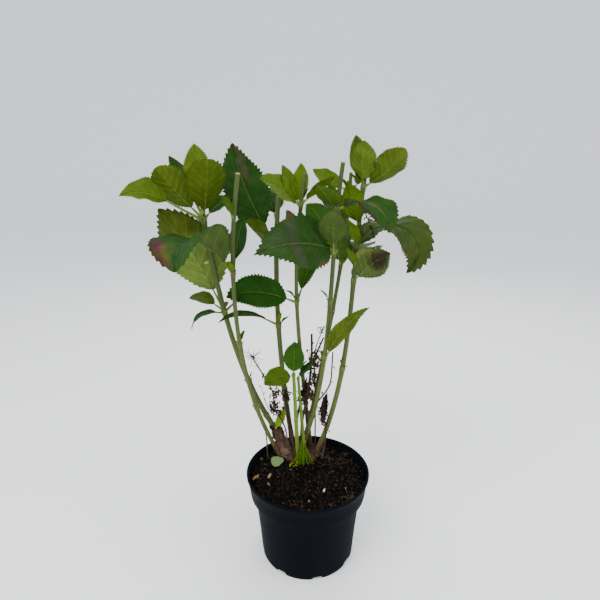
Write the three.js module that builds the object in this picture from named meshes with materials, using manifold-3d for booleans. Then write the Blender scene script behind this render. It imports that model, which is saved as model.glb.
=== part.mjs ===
// A young garden hydrangea in its nursery pot: seven leafy canes that rise from a low root crown,
// two light green shoots, a tuft of thin new leaves, and the dry remains of last year's growth.
// Millimetres, +Z up. The origin is the centre of the pot's flat underside, and the plant is seen
// along +Y, with +X to the right.
import * as THREE from 'three';
import { mergeVertices } from 'three/addons/utils/BufferGeometryUtils.js';
import Module from 'manifold-3d';

const wasm = await Module();
wasm.setup();

// Pot: a round nursery pot with a deep collar
const POT_HEIGHT = 140;
const RIM_RADIUS = 95;
const RIM_LIP = 1.6;
const COLLAR_HEIGHT = 35;
const COLLAR_FOOT_RADIUS = 89.5;
const BODY_TOP_RADIUS = 82;
const BASE_RADIUS = 72.5;
const WALL = 1.8;
const FLOOR = 6;
const FOOT_NOTCHES = 8;
const NOTCH_WIDTH = 16;
const NOTCH_DEPTH = 9;
const NOTCH_HEIGHT = 4;
const POT_SIDES = 44;

// Soil and the woody base of the plant
const GAP = 0.3;
const SOIL_TOP = 128;
const CROWN_CENTRE = [-12, 53];
const CROWN_SIZE = [37, 23, 17];
const STUMP_FOOT = [-33, 50, 130];
const STUMP_TOP = [-52, 52, 181];
const STUMP_RADIUS = [11, 9.5];
const STUMP_SIDES = 12;
const STUMP_STEP = 25;

// Stems and leaves
const STEM_SIDES = 8;
const STEM_STEP = 22;
const STALK_RADIUS = [2.2, 1.3];
const THIN_STALK = [1.2, 0.9];
const LEAF_THICKNESS = 0.013;
const LEAF_EDGE = 0.4;
const WIDEST_RISE = 0.75;
const WIDEST_FALL = 0.95;
const DROOP_POWER = 1.3;
const RIB_STEPS = 48;
const SLIVER = 0.02;
const BELOW_FOOT = -0.1;
const SMALL_LEAF = 48;
const STRONG_BEND = 90;

// Canes: foot, lower bow, upper bow, top, thickness at the foot and at the top, and the share of
// the length where the bare cane ends and its leafy part begins
const CANES = [
  [[-54, 53, 180], [-112, 44, 284], [-131, 26, 408], [-142, 0, 528], 8.6, 6.8, 0.565],
  [[-44, 44, 134], [-114, 28, 268], [-115, -1, 452], [-89, -34, 584], 6.8, 6, 0.64],
  [[-24, 66, 140], [-46, 67, 285], [-54, 68, 420], [-44, 70, 553], 8.4, 7.4, 0.46],
  [[4, 62, 150], [-10, 50, 319], [-32, 40, 430], [-4, 22, 585], 7, 5, 0.52],
  [[-9, 48, 148], [42, 35, 291], [28, 10, 477], [43, -14, 598], 9.2, 6.4, 0.29],
  [[0, 72, 160], [30, 75, 317], [59, 79, 450], [64, 84, 587], 7, 5.4, 0.46],
  [[11, 52, 126], [74, 49, 264], [63, 45, 443], [79, 40, 585], 8.6, 6.6, 0.62],
];

// Leaves of each cane: the place along the cane, the way that the leaf heads (0 is +X, 90 is +Y), its
// rise, stalk, blade length and width, then its droop, sideways sweep, roll, twist, fold and how it
// narrows to its tip (low is blunt) where it has them; lengths in millimetres and angles in degrees
const FOLD = 10;
const LEAVES = [
  [
    {
      at: 0.985, heading: 196, rise: 30, stalk: 54, long: 60, wide: 42,
      droop: 54, roll: 44, fold: 22, tip: 1.15,
    },
    { at: 0.99, heading: 206, rise: 47, stalk: 22, long: 66, wide: 54, droop: -8, roll: -45, tip: 0.55 },
    { at: 0.99, heading: 294, rise: 55, stalk: 16, long: 72, wide: 54, droop: -14, fold: 15, tip: 0.55 },
    { at: 1, heading: 112, rise: 68, stalk: 30, long: 74, wide: 40, fold: 20 },
    { at: 1, heading: 150, rise: 58, stalk: 30, long: 68, wide: 22, droop: 10, roll: 50, fold: 20 },
    { at: 0.99, heading: 25, rise: 46, stalk: 12, long: 38, wide: 24, droop: 30, roll: -40, fold: 15 },
    { at: 0.985, heading: 100, rise: 52, stalk: 24, long: 60, wide: 42, droop: 10 },
    { at: 0.96, heading: 120, rise: 5, stalk: 30, long: 72, wide: 46, droop: 35 },
    { at: 0.615, heading: 203, rise: 66, stalk: 36, long: 136, wide: 88, droop: 14, roll: -60 },
    { at: 0.615, heading: 148, rise: 22, stalk: 20, long: 54, wide: 24, droop: 45, roll: 30, fold: 15 },
    { at: 0.605, heading: 225, rise: 18, stalk: 12, long: 54, wide: 18, droop: 105, sweep: -50, roll: 10 },
    { at: 0.61, heading: 60, rise: 20, stalk: 26, long: 74, wide: 44, droop: 30 },
  ],
  [
    {
      at: 0.695, heading: 211, rise: 53, stalk: 22, long: 128, wide: 90,
      droop: 119, sweep: 70, roll: -10, fold: 20, tip: 0.8,
    },
    { at: 0.695, heading: 54, rise: 76, stalk: 20, long: 62, wide: 27, droop: 10, roll: -20 },
    { at: 0.86, heading: 250, rise: 55, stalk: 10, long: 34, wide: 14, droop: 20, fold: 15 },
  ],
  [
    { at: 0.505, heading: 219, rise: 32, stalk: 30, long: 86, wide: 13, droop: 58, roll: 30 },
    { at: 0.81, heading: 170, rise: 60, stalk: 38, long: 128, wide: 68, droop: -20, sweep: -10, roll: 80 },
    { at: 0.81, heading: 222, rise: 42, stalk: 4, long: 66, wide: 48, droop: 12, roll: 45 },
    { at: 0.81, heading: 65, rise: 30, stalk: 30, long: 90, wide: 56, droop: 55, sweep: 10 },
    { at: 0.9, heading: 110, rise: 45, stalk: 20, long: 70, wide: 42, droop: 30 },
  ],
  [
    { at: 0.56, heading: 197, rise: 25, stalk: 18, long: 92, wide: 54, droop: 45, roll: 55 },
    {
      at: 0.56, heading: 48, rise: 62, stalk: 22, long: 90, wide: 30,
      droop: 20, sweep: 20, roll: -10, fold: 15,
    },
    { at: 0.9, heading: 216, rise: 40, stalk: 10, long: 66, wide: 46, droop: 26, roll: 50 },
    { at: 0.72, heading: 238, rise: 74, stalk: 10, long: 66, wide: 48, roll: 30, tip: 0.6 },
    { at: 0.9, heading: 175, rise: 62, stalk: 10, long: 52, wide: 34, droop: -10, roll: 30 },
    { at: 0.91, heading: 90, rise: 60, stalk: 10, long: 54, wide: 24, roll: 10, fold: 20 },
    { at: 0.91, heading: 345, rise: 38, stalk: 10, long: 50, wide: 26, roll: 20 },
  ],
  [
    { at: 0.34, heading: 308, rise: 62, stalk: 24, long: 104, wide: 26, droop: 25, sweep: 35, roll: 50 },
    {
      at: 0.72, heading: 218, rise: 18, stalk: 8, long: 118, wide: 82,
      droop: 42, sweep: -15, roll: 55, tip: 1.35,
    },
    { at: 0.7, heading: 262, rise: 50, stalk: 26, long: 54, wide: 42, droop: -20 },
    { at: 0.74, heading: 154, rise: 57, stalk: 16, long: 52, wide: 46, droop: 20, roll: 30 },
    { at: 0.84, heading: 238, rise: 36, stalk: 12, long: 52, wide: 38, droop: 10 },
    { at: 0.845, heading: 325, rise: 24, stalk: 12, long: 86, wide: 54, droop: 115, roll: 20, twist: -70 },
  ],
  [
    { at: 0.93, heading: 160, rise: 30, stalk: 14, long: 54, wide: 30, roll: 45 },
    { at: 0.93, heading: 40, rise: 36, stalk: 20, long: 70, wide: 44, droop: 30 },
    { at: 0.66, heading: 250, rise: 50, stalk: 12, long: 62, wide: 44 },
    { at: 0.8, heading: 230, rise: 60, stalk: 14, long: 66, wide: 46, droop: 10, roll: 20 },
    { at: 0.66, heading: 95, rise: 38, stalk: 30, long: 96, wide: 58, droop: 60 },
    { at: 0.66, heading: 48, rise: 30, stalk: 26, long: 80, wide: 46, droop: 60, sweep: 20 },
    { at: 0.8, heading: 140, rise: 50, stalk: 20, long: 66, wide: 40, droop: 20 },
  ],
  [
    { at: 0.95, heading: 125, rise: 76, stalk: 12, long: 64, wide: 34, roll: 20, fold: 20 },
    {
      at: 0.95, heading: 255, rise: 55, stalk: 16, long: 60, wide: 40,
      droop: 4, sweep: 19, roll: 10, fold: 20,
    },
    { at: 0.955, heading: 331, rise: 32, stalk: 11, long: 66, wide: 46, droop: -28, roll: 35, tip: 0.55 },
    {
      at: 0.77, heading: 325, rise: 55, stalk: 6, long: 146, wide: 60,
      droop: 198, sweep: 30, roll: 60, twist: -180,
    },
    { at: 0.66, heading: 330, rise: 48, stalk: 10, long: 62, wide: 54, droop: 20, roll: 60 },
    { at: 0.83, heading: 235, rise: 62, stalk: 10, long: 62, wide: 34, roll: -20 },
    { at: 0.76, heading: 46, rise: 32, stalk: 28, long: 88, wide: 52, droop: 60, sweep: -10 },
    { at: 0.73, heading: 50, rise: 20, stalk: 16, long: 56, wide: 34, droop: 40, roll: 10 },
  ],
];

// Light green shoots by the foot, told in the same way as the canes and leaves
const SHOOTS = [
  [[-14, 34, 126], [-18, 32, 180], [-19, 30, 230], [-22, 26, 290], 5, 3.4],
  [[-3, 41, 132], [-8, 38, 180], [-11, 37, 230], [-15, 33, 280], 4.2, 2.8],
];
const SHOOT_LEAVES = [
  [
    { at: 0.99, heading: 80, rise: 74, stalk: 4, long: 46, wide: 34, droop: -6 },
    { at: 0.97, heading: 204, rise: 12, stalk: 6, long: 44, wide: 36, droop: 50, roll: 30 },
  ],
  [
    { at: 0.99, heading: 4, rise: 50, stalk: 4, long: 34, wide: 20, droop: 10, roll: 20 },
  ],
];
const TUFT_CENTRE = [-7, 26];
const TUFT_SPREAD = [18, 5];
const TUFT_STEM = [2, 1.2];
const TUFT_HEIGHT = 52;
const TUFT_MEET = [24, 50];
const TUFT_BLADES = 9;
const SPROUT = { heading: 8, rise: 70, stalk: 3, long: 48, wide: 12, roll: -75, tip: 2.2 };
const SPROUT_FOOT = [-48, 45.5, 184.3];
const SPROUT_STALK = [1.8, 1];

// Dry remains: each is a bent twig through a few places, its thickness, and how many dry scraps
// hang on its upper part
const SHOOT_SIDES = 6;
const DRY_TWIGS = {
  dry_stem_middle: {
    places: [[-10, 52, 130], [-9, 49, 190], [0, 45, 242], [6, 46, 300], [6, 46, 346]],
    widths: [5, 2],
    scraps: 9,
  },
  dry_twig_behind: {
    places: [[14, 82, 126], [14, 82, 200], [12, 74, 300], [26, 66, 352]],
    widths: [3.2, 1.6],
    scraps: 3,
  },
  dry_twig_left: {
    places: [[-24, 36, 130], [-31, 37, 160], [-37, 40, 190], [-53, 40, 226], [-57, 42, 254], [-86, 46, 306]],
    widths: [2.6, 1.4],
    scraps: 5,
  },
  dry_twig_centre: {
    places: [[-17, 36, 130], [-24, 34, 165], [-32, 36, 200], [-36, 38, 240], [-50, 38, 262]],
    widths: [3, 1.8],
    scraps: 5,
  },
  dry_twig_right: {
    places: [[24, 42, 126], [30, 42, 170], [28, 42, 200], [31, 42, 250]],
    widths: [3, 1.6],
    scraps: 7,
  },
  dry_twig_front: {
    places: [[-66, 48, 126], [-68, 47, 170], [-77, 46, 214]],
    widths: [2.6, 1.4],
    scraps: 0,
  },
};
const DRY_SIDES = 5;
const DRY_STEP = 16;
const SCRAP_SIZE = [3, 6];
const SCRAP_SPREAD = 8;

const COLOURS = {
  pot: ['#20252c', 0.6],
  soil: ['#1d1612', 0.95],
  wood: ['#5c4632', 0.9],
  cane: ['#7f9150', 0.65],
  young: ['#8fb53a', 0.6],
  leaf: ['#4f7a1e', 0.6],
  dry: ['#3b2a20', 0.95],
};

const part = new THREE.Group();
const radians = THREE.MathUtils.degToRad;
const vector = (place) => new THREE.Vector3(...place);

// The same run of numbers each time, from 0 to 1
function dice(seed) {
  let state = seed;
  return () => {
    state = (state * 1103515245 + 12345) % 2147483648;
    return state / 2147483648;
  };
}

const between = ([low, high], share) => low + (high - low) * share;

function add(name, geometry, kind) {
  const [color, roughness] = COLOURS[kind];
  const mesh = new THREE.Mesh(geometry, new THREE.MeshStandardMaterial({ color, roughness }));
  mesh.name = name;
  part.add(mesh);
}

// A closed shape as a solid that can be joined and cut
function solid(geometry) {
  const bare = geometry.clone();
  bare.deleteAttribute('normal');
  bare.deleteAttribute('uv');
  const merged = mergeVertices(bare, 1e-4);
  const corners = merged.index.array;
  const kept = [];
  for (let i = 0; i < corners.length; i += 3) {
    const [a, b, c] = [corners[i], corners[i + 1], corners[i + 2]];
    if (a !== b && b !== c && c !== a) kept.push(a, b, c);
  }
  return new wasm.Manifold(new wasm.Mesh({
    numProp: 3,
    vertProperties: new Float32Array(merged.attributes.position.array),
    triVerts: new Uint32Array(kept),
  }));
}

function shape(body) {
  const mesh = body.getMesh();
  const geometry = new THREE.BufferGeometry();
  geometry.setAttribute('position', new THREE.BufferAttribute(new Float32Array(mesh.vertProperties), 3));
  geometry.setIndex([...mesh.triVerts]);
  return geometry;
}

// A closed skin over rings of points, from the first ring to the last
function loft(rings) {
  const sides = rings[0].length;
  const places = [];
  const faces = [];
  for (const ring of rings) for (const p of ring) places.push(p.x, p.y, p.z);
  for (let i = 0; i + 1 < rings.length; i += 1) {
    for (let j = 0; j < sides; j += 1) {
      const a = i * sides + j;
      const b = i * sides + ((j + 1) % sides);
      faces.push(a, a + sides, b + sides, a, b + sides, b);
    }
  }
  const last = (rings.length - 1) * sides;
  for (let j = 1; j + 1 < sides; j += 1) {
    faces.push(0, j, j + 1);
    faces.push(last, last + j + 1, last + j);
  }
  const geometry = new THREE.BufferGeometry();
  geometry.setAttribute('position', new THREE.BufferAttribute(new Float32Array(places), 3));
  geometry.setIndex(faces);
  return geometry;
}

// A ring of points round a stem, square to the way that it runs
function ringAt(centre, along, radius, sides) {
  const across = new THREE.Vector3(0, 1, 0).cross(along).normalize();
  const upward = across.clone().cross(along);
  return Array.from({ length: sides }, (_, k) => {
    const turn = (2 * Math.PI * k) / sides;
    return centre.clone()
      .addScaledVector(across, radius * Math.cos(turn))
      .addScaledVector(upward, radius * Math.sin(turn));
  });
}

// A tapering stem along a curve, between two shares of its length
function stem(curve, from, to, radiusAt, sides, step) {
  const length = curve.getPoint(from).distanceTo(curve.getPoint(to));
  const steps = Math.max(1, Math.round(length / step));
  const rings = Array.from({ length: steps + 1 }, (_, i) => {
    const share = from + ((to - from) * i) / steps;
    return ringAt(curve.getPoint(share), curve.getTangent(share), radiusAt(share), sides);
  });
  return loft(rings);
}

// Pot
function pot() {
  const collarFoot = POT_HEIGHT - COLLAR_HEIGHT;
  const profile = [
    [0, 0],
    [BASE_RADIUS - 3, 0],
    [BASE_RADIUS, 2],
    [BODY_TOP_RADIUS, collarFoot - 2],
    [COLLAR_FOOT_RADIUS - 1.5, collarFoot],
    [COLLAR_FOOT_RADIUS, collarFoot + 2],
    [RIM_RADIUS - RIM_LIP, POT_HEIGHT - 4],
    [RIM_RADIUS, POT_HEIGHT - 3],
    [RIM_RADIUS, POT_HEIGHT],
    [RIM_RADIUS - RIM_LIP - WALL, POT_HEIGHT],
    [COLLAR_FOOT_RADIUS - WALL, collarFoot + 2],
    [BODY_TOP_RADIUS - WALL, collarFoot],
    [BASE_RADIUS - WALL, FLOOR],
    [0, FLOOR],
  ].map(([r, z]) => new THREE.Vector2(r, z));
  const cup = new THREE.LatheGeometry(profile, POT_SIDES).rotateX(Math.PI / 2);
  let body = solid(cup);
  for (let i = 0; i < FOOT_NOTCHES; i += 1) {
    const notch = new THREE.BoxGeometry(2 * NOTCH_DEPTH, NOTCH_WIDTH, 2 * NOTCH_HEIGHT)
      .translate(BASE_RADIUS + 1, 0, 0)
      .rotateZ((2 * Math.PI * (i + 0.25)) / FOOT_NOTCHES);
    body = body.subtract(solid(notch));
  }
  add('pot', shape(body), 'pot');
}

// Soil: fills the pot to a finger's breadth under its rim
function soil() {
  const collarFoot = POT_HEIGHT - COLLAR_HEIGHT;
  const inner = BODY_TOP_RADIUS - WALL - GAP;
  const slope = (RIM_RADIUS - RIM_LIP - COLLAR_FOOT_RADIUS) / (COLLAR_HEIGHT - 2);
  const top = COLLAR_FOOT_RADIUS - WALL - GAP + slope * (SOIL_TOP - collarFoot - 4);
  const profile = [
    [0, FLOOR + GAP],
    [BASE_RADIUS - WALL - 2 * GAP, FLOOR + GAP],
    [inner - GAP, collarFoot + 1],
    [COLLAR_FOOT_RADIUS - WALL - 3 * GAP, collarFoot + 4],
    [top, SOIL_TOP - 1],
    [top - 3, SOIL_TOP],
    [0, SOIL_TOP],
  ].map(([r, z]) => new THREE.Vector2(r, z));
  add('soil', new THREE.LatheGeometry(profile, POT_SIDES).rotateX(Math.PI / 2), 'soil');
}

// Root crown: a low woody mound on the soil
function crown() {
  const mound = new THREE.SphereGeometry(1, 24, 16)
    .rotateX(Math.PI / 2)
    .scale(...CROWN_SIZE)
    .translate(...CROWN_CENTRE, SOIL_TOP);
  const below = new THREE.BoxGeometry(200, 200, 40).translate(0, 0, SOIL_TOP + GAP - 20);
  return solid(mound).subtract(solid(below));
}

const stumpLine = new THREE.LineCurve3(vector(STUMP_FOOT), vector(STUMP_TOP));
const stumpWidthAt = (share) => between(STUMP_RADIUS, share);

// Whether a point is in the soil, the root crown or the stump, or within a gap of them
function buried(p, withStump = true) {
  if (p.z < SOIL_TOP + GAP) return true;
  const fromCrown = new THREE.Vector3(p.x - CROWN_CENTRE[0], p.y - CROWN_CENTRE[1], p.z - SOIL_TOP)
    .divide(vector(CROWN_SIZE).addScalar(GAP));
  if (fromCrown.length() < 1) return true;
  if (!withStump) return false;
  const length = stumpLine.getLength();
  const fromFoot = p.clone().sub(stumpLine.v1);
  const along = fromFoot.dot(stumpLine.getTangent(0));
  const out = Math.sqrt(Math.max(fromFoot.lengthSq() - along * along, 0));
  return along > 0 && along < length + GAP && out < stumpWidthAt(along / length) + GAP;
}

// Share of a stem's length where its whole end face is clear of what it grows from
function seat(curve, radiusAt, sides, withStump = true) {
  let share = curve.isCubicBezierCurve3 ? BELOW_FOOT : 0;
  const face = () => [1, 0.5, 0.01].flatMap((inward) => (
    ringAt(curve.getPoint(share), curve.getTangent(share), radiusAt(share) * inward, sides)
  ));
  while (face().some((p) => buried(p, withStump))) share += 0.0005;
  return share;
}

function stump() {
  const foot = seat(stumpLine, stumpWidthAt, STUMP_SIDES, false);
  return stem(stumpLine, foot, 1, stumpWidthAt, STUMP_SIDES, STUMP_STEP);
}

// A joined body without the scraps and slivers that a join can leave
function tidy(body) {
  return body.simplify(SLIVER).decompose().sort((a, b) => b.volume() - a.volume())[0];
}

// Leaves
function halfWidth(share, fall) {
  const sum = WIDEST_RISE + fall;
  const peak = (WIDEST_RISE / sum) ** WIDEST_RISE * (fall / sum) ** fall;
  return (share ** WIDEST_RISE * (1 - share) ** fall) / peak / 2;
}

// Places and directions along a leaf's midrib, from the foot of its stalk to its tip
function midrib(foot, { heading, rise, stalk, long, droop = 0, sweep = 0, roll = 0, twist = 0 }) {
  const frameAt = (share) => {
    const lift = radians(rise - droop * share ** DROOP_POWER);
    const turn = radians(heading + sweep * share);
    const along = new THREE.Vector3(
      Math.cos(lift) * Math.cos(turn),
      Math.cos(lift) * Math.sin(turn),
      Math.sin(lift),
    );
    const side = new THREE.Vector3(Math.sin(turn), -Math.cos(turn), 0);
    side.applyAxisAngle(along, -radians(roll + twist * share));
    return { along, side, face: side.clone().cross(along) };
  };
  const start = frameAt(0);
  const stations = [{ ...start, share: 0, place: foot.clone().addScaledVector(start.along, stalk) }];
  for (let i = 1; i <= RIB_STEPS; i += 1) {
    const middle = frameAt((i - 0.5) / RIB_STEPS);
    const place = stations[i - 1].place.clone().addScaledVector(middle.along, long / RIB_STEPS);
    stations.push({ ...frameAt(i / RIB_STEPS), share: i / RIB_STEPS, place });
  }
  return { start, stations };
}

// One leaf as a closed thin blade on a round stalk
function leaf(foot, row, stalkRadius = STALK_RADIUS) {
  const { stalk, long, wide, droop = 0, twist = 0, fold = FOLD, tip = WIDEST_FALL } = row;
  const { start, stations } = midrib(foot, row);
  const thick = LEAF_THICKNESS * long;
  const lift = Math.sin(radians(fold));
  const reach = Math.cos(radians(fold));
  const ring = ({ place, side, face }, half, middle, edge) => [
    [reach, lift, edge], [0, 0, middle], [-reach, lift, edge],
    [-reach, lift, -edge], [0, 0, -middle], [reach, lift, -edge],
  ].map(([across, up, depth]) => place.clone()
    .addScaledVector(side, across * half)
    .addScaledVector(face, up * half + depth));
  const stalkRing = (share) => {
    const radius = between(stalkRadius, share);
    const place = foot.clone().addScaledVector(start.along, stalk * share);
    return ring({ place, ...start }, radius, radius, radius / 2);
  };
  const bends = Math.abs(droop) + Math.abs(twist);
  const steps = long < SMALL_LEAF ? 4 : 8 + 4 * (bends > STRONG_BEND);
  const rings = [stalkRing(0), stalkRing(0.5)];
  for (let i = 0; i <= steps; i += 1) {
    const station = stations[Math.round((RIB_STEPS * i) / steps)];
    const half = Math.max(wide * halfWidth(station.share, tip), 0.8);
    const middle = i ? thick / 2 : Math.max(stalkRadius[1], thick / 2);
    rings.push(ring(station, i ? half : stalkRadius[1], middle, thick * LEAF_EDGE));
  }
  return solid(loft(rings));
}

function join(bodies) {
  return bodies.reduce((all, next) => all.add(next));
}

const caneCurves = CANES.map(([foot, low, high, top]) => (
  new THREE.CubicBezierCurve3(vector(foot), vector(low), vector(high), vector(top))
));

// Canes and the leafy part that carries on from each of them
function canes() {
  CANES.forEach(([, , , , footWidth, topWidth, leafy], i) => {
    const curve = caneCurves[i];
    const radiusAt = (share) => between([footWidth, topWidth], share) / 2;
    const start = seat(curve, radiusAt, STEM_SIDES);
    add(`cane_${i + 1}`, stem(curve, start, leafy, radiusAt, STEM_SIDES, STEM_STEP), 'cane');
    const clear = leafy + GAP / curve.getLength();
    const bodies = [solid(stem(curve, clear, 1, radiusAt, STEM_SIDES, STEM_STEP))];
    for (const row of LEAVES[i]) bodies.push(leaf(curve.getPoint(row.at), row));
    add(`foliage_${i + 1}`, shape(tidy(join(bodies))), 'leaf');
  });
}

// Light green shoots with their first leaves
function shoots() {
  SHOOTS.forEach(([foot, low, high, top, footWidth, topWidth], i) => {
    const curve = new THREE.CubicBezierCurve3(vector(foot), vector(low), vector(high), vector(top));
    const radiusAt = (share) => between([footWidth, topWidth], share) / 2;
    const start = seat(curve, radiusAt, SHOOT_SIDES);
    const bodies = [solid(stem(curve, start, 1, radiusAt, SHOOT_SIDES, STEM_STEP))];
    for (const row of SHOOT_LEAVES[i]) bodies.push(leaf(curve.getPoint(row.at), row, THIN_STALK));
    add(`young_shoot_${i + 1}`, shape(tidy(join(bodies))), 'young');
  });
}

// Thin new leaves that rise from the soil and lean in on one short stem
function tuft() {
  const chance = dice(7);
  const [low, high] = TUFT_STEM;
  const bodies = [solid(new THREE.CylinderGeometry(high, low, TUFT_HEIGHT, 8)
    .rotateX(Math.PI / 2)
    .translate(...TUFT_CENTRE, SOIL_TOP + GAP + TUFT_HEIGHT / 2))];
  for (let i = 0; i < TUFT_BLADES; i += 1) {
    const turn = radians(175 + (190 * i) / (TUFT_BLADES - 1));
    const away = new THREE.Vector2(TUFT_SPREAD[0] * Math.cos(turn), TUFT_SPREAD[1] * Math.sin(turn));
    const meet = between(TUFT_MEET, chance());
    const foot = new THREE.Vector3(TUFT_CENTRE[0] + away.x, TUFT_CENTRE[1] + away.y, SOIL_TOP + 2);
    bodies.push(leaf(foot, {
      heading: THREE.MathUtils.radToDeg(Math.atan2(-away.y, -away.x)),
      rise: THREE.MathUtils.radToDeg(Math.atan2(meet, away.length())),
      stalk: 3,
      long: Math.hypot(meet, away.length()) + 2,
      wide: 3.4,
    }, THIN_STALK));
  }
  add('new_leaf_tuft', shape(tidy(join(bodies))), 'young');
}

function sprout() {
  add('stump_sprout', shape(leaf(vector(SPROUT_FOOT), SPROUT, SPROUT_STALK)), 'young');
}

// Dry twigs, with scraps of last year's leaves and flower heads
function dryTwigs() {
  Object.entries(DRY_TWIGS).forEach(([name, { places, widths, scraps }], i) => {
    const chance = dice(31 + i);
    const curve = new THREE.CatmullRomCurve3(places.map(vector));
    const radiusAt = (share) => between(widths, share) / 2;
    const foot = seat(curve, radiusAt, DRY_SIDES);
    const bodies = [solid(stem(curve, foot, 1, radiusAt, DRY_SIDES, DRY_STEP))];
    for (let k = 0; k < scraps; k += 1) {
      const place = curve.getPoint(between([0.55, 0.98], chance()));
      const size = between(SCRAP_SIZE, chance());
      const away = new THREE.Vector3(chance() - 0.5, chance() - 0.5, chance() - 0.3)
        .multiplyScalar(SCRAP_SPREAD);
      const far = place.clone().add(away);
      bodies.push(solid(stem(new THREE.LineCurve3(place, far), 0, 1, () => 0.8, 4, 20)));
      bodies.push(solid(new THREE.OctahedronGeometry(1, 0)
        .scale(size * 0.5, size * 0.35, size * 0.7)
        .rotateY(chance() * 3)
        .translate(far.x, far.y, far.z)));
    }
    add(name, shape(tidy(join(bodies))), 'dry');
  });
}

pot();
soil();
add('root_crown', shape(crown()), 'wood');
add('old_stump', stump(), 'wood');
canes();
shoots();
tuft();
sprout();
dryTwigs();

export default part;
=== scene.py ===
"""A young hydrangea shrub in its nursery pot, with detailed leaves, bark, soil and dry remains.

Sizes are millimetres where no comment says metres, and angles are degrees. The meshes are made in
metres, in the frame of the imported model: the origin is the centre of the pot's underside, +Z is up
and the plant is seen along +Y.
"""

import math
import random
from collections import namedtuple

import bpy
import numpy as np
from bpy.props import FloatProperty, FloatVectorProperty, IntProperty, PointerProperty
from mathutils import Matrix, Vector


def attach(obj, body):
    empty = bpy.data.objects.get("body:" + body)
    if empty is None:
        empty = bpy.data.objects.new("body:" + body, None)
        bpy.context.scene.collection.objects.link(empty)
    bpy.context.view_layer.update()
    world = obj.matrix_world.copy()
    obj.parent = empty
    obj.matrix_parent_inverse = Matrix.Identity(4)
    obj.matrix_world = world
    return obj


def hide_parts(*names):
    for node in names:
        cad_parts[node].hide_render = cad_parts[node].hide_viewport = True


bl_info = {
    "name": "Potted hydrangea",
    "version": (1, 0, 0),
    "blender": (4, 5, 0),
    "location": "View3D > Sidebar > Hydrangea",
    "description": "Builds a young hydrangea shrub in its nursery pot",
    "category": "Object",
}

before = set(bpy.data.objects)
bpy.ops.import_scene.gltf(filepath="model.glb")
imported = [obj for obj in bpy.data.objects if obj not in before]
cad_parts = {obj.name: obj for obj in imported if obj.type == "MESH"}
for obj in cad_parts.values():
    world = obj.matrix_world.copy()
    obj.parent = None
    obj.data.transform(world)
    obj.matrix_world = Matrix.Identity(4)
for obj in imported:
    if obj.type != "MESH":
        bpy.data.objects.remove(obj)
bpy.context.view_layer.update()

MM = 0.001
PER_METRE = 1000
BODY = "root"

# Pot and soil, in millimetres
POT_HEIGHT = 140
RIM_RADIUS = 95
COLLAR_HEIGHT = 35
COLLAR_FOOT_RADIUS = 89.5
BODY_TOP_RADIUS = 82
BASE_RADIUS = 72.5
POT_WALL = 1.8
POT_FLOOR = 6
FOOT_NOTCHES = 8
NOTCH_RISE = 3.6
SOIL_TOP = 128
SOIL_RADIUS = 88.8
SOIL_RINGS = 38
SOIL_SIDES = 120
MOUND_REACH = (46, 32)
MOUND_RISE = 3.2

# Crumbs on the soil: how far out and how low they are kept, the corners of each, the smallest as a
# share of the largest, and the scale of the noise that roughens them
CRUMB_LIMIT = 87.5
CRUMB_DEPTH = 6
CRUMB_CORNERS = 12
SMALLEST_CRUMB = 0.3
CRUMB_GRAIN = 900

# Root crown and old stump
CROWN_CENTRE = (-12, 53)
CROWN_SIZE = (37, 23, 17)
STUMP_FOOT = (-33, 50, 128)
STUMP_TOP = (-52, 52, 181)
STUMP_RADIUS = (11, 8.4)

# Blades: steps along and half across, how close together they lie at the midrib, narrowest half
# width, veins, teeth, the powers that shape the outline and the droop
BLADE_STEPS = 110
HALF_STEPS = 8
MIDRIB_CROWDING = 1.35
NARROWEST = 0.35
VEIN_PAIRS = 7
VEIN_SLOPE = 0.28
TEETH = 22
TOOTH_RISE = 0.8
TOOTH_FALL = 0.2
WIDEST_RISE = 0.75
WIDEST_FALL = 0.95
DROOP_POWER = 1.3
# The blade's width and length at which its teeth and its relief are as deep as the settings say
TOOTHED_WIDTH = 50
RELIEF_LENGTH = 80
# End of the range for a random turn, in radians
WHOLE_TURN = 6.28

# Stalks: radii at foot and blade, and steps of the midrib under the blade, which ends before its tip
STALK_RADIUS = (2.2, 1.3)
THIN_STALK = (1.2, 0.9)
SPROUT_STALK = (1.8, 1)
RIB_STEPS = 24
RIB_END = 21

# A cane: the four places that draw its curve, its widths at foot and top, the shares of its length
# where its nodes are, and whether its top is cut off
Cane = namedtuple("Cane", "foot low high top widths nodes cut")
CANES = (
    Cane(
        (-54, 53, 180), (-112, 44, 284), (-131, 26, 408), (-142, 0, 528),
        widths=(8.6, 6.8), nodes=(0.08, 0.27, 0.61, 0.98), cut=False,
    ),
    Cane(
        (-44, 44, 134), (-114, 28, 268), (-115, -1, 452), (-89, -34, 584),
        widths=(6.8, 6), nodes=(0.22, 0.46, 0.695), cut=True,
    ),
    Cane(
        (-24, 66, 140), (-46, 67, 285), (-54, 68, 420), (-44, 70, 553),
        widths=(8.4, 7.4), nodes=(0.24, 0.505, 0.81), cut=True,
    ),
    Cane(
        (4, 62, 150), (-10, 50, 319), (-32, 40, 430), (-4, 22, 585),
        widths=(7, 5), nodes=(0.3, 0.56, 0.905), cut=False,
    ),
    Cane(
        (-9, 48, 148), (42, 35, 291), (28, 10, 477), (43, -14, 598),
        widths=(7.6, 5.8), nodes=(0.36, 0.55, 0.71, 0.845), cut=True,
    ),
    Cane(
        (0, 72, 160), (30, 75, 317), (59, 79, 450), (64, 84, 587),
        widths=(7, 5.4), nodes=(0.3, 0.48, 0.66, 0.93), cut=True,
    ),
    Cane(
        (11, 52, 126), (74, 49, 264), (63, 45, 443), (79, 40, 585),
        widths=(8.6, 6.6), nodes=(0.36, 0.66, 0.77, 0.955), cut=False,
    ),
)

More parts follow.
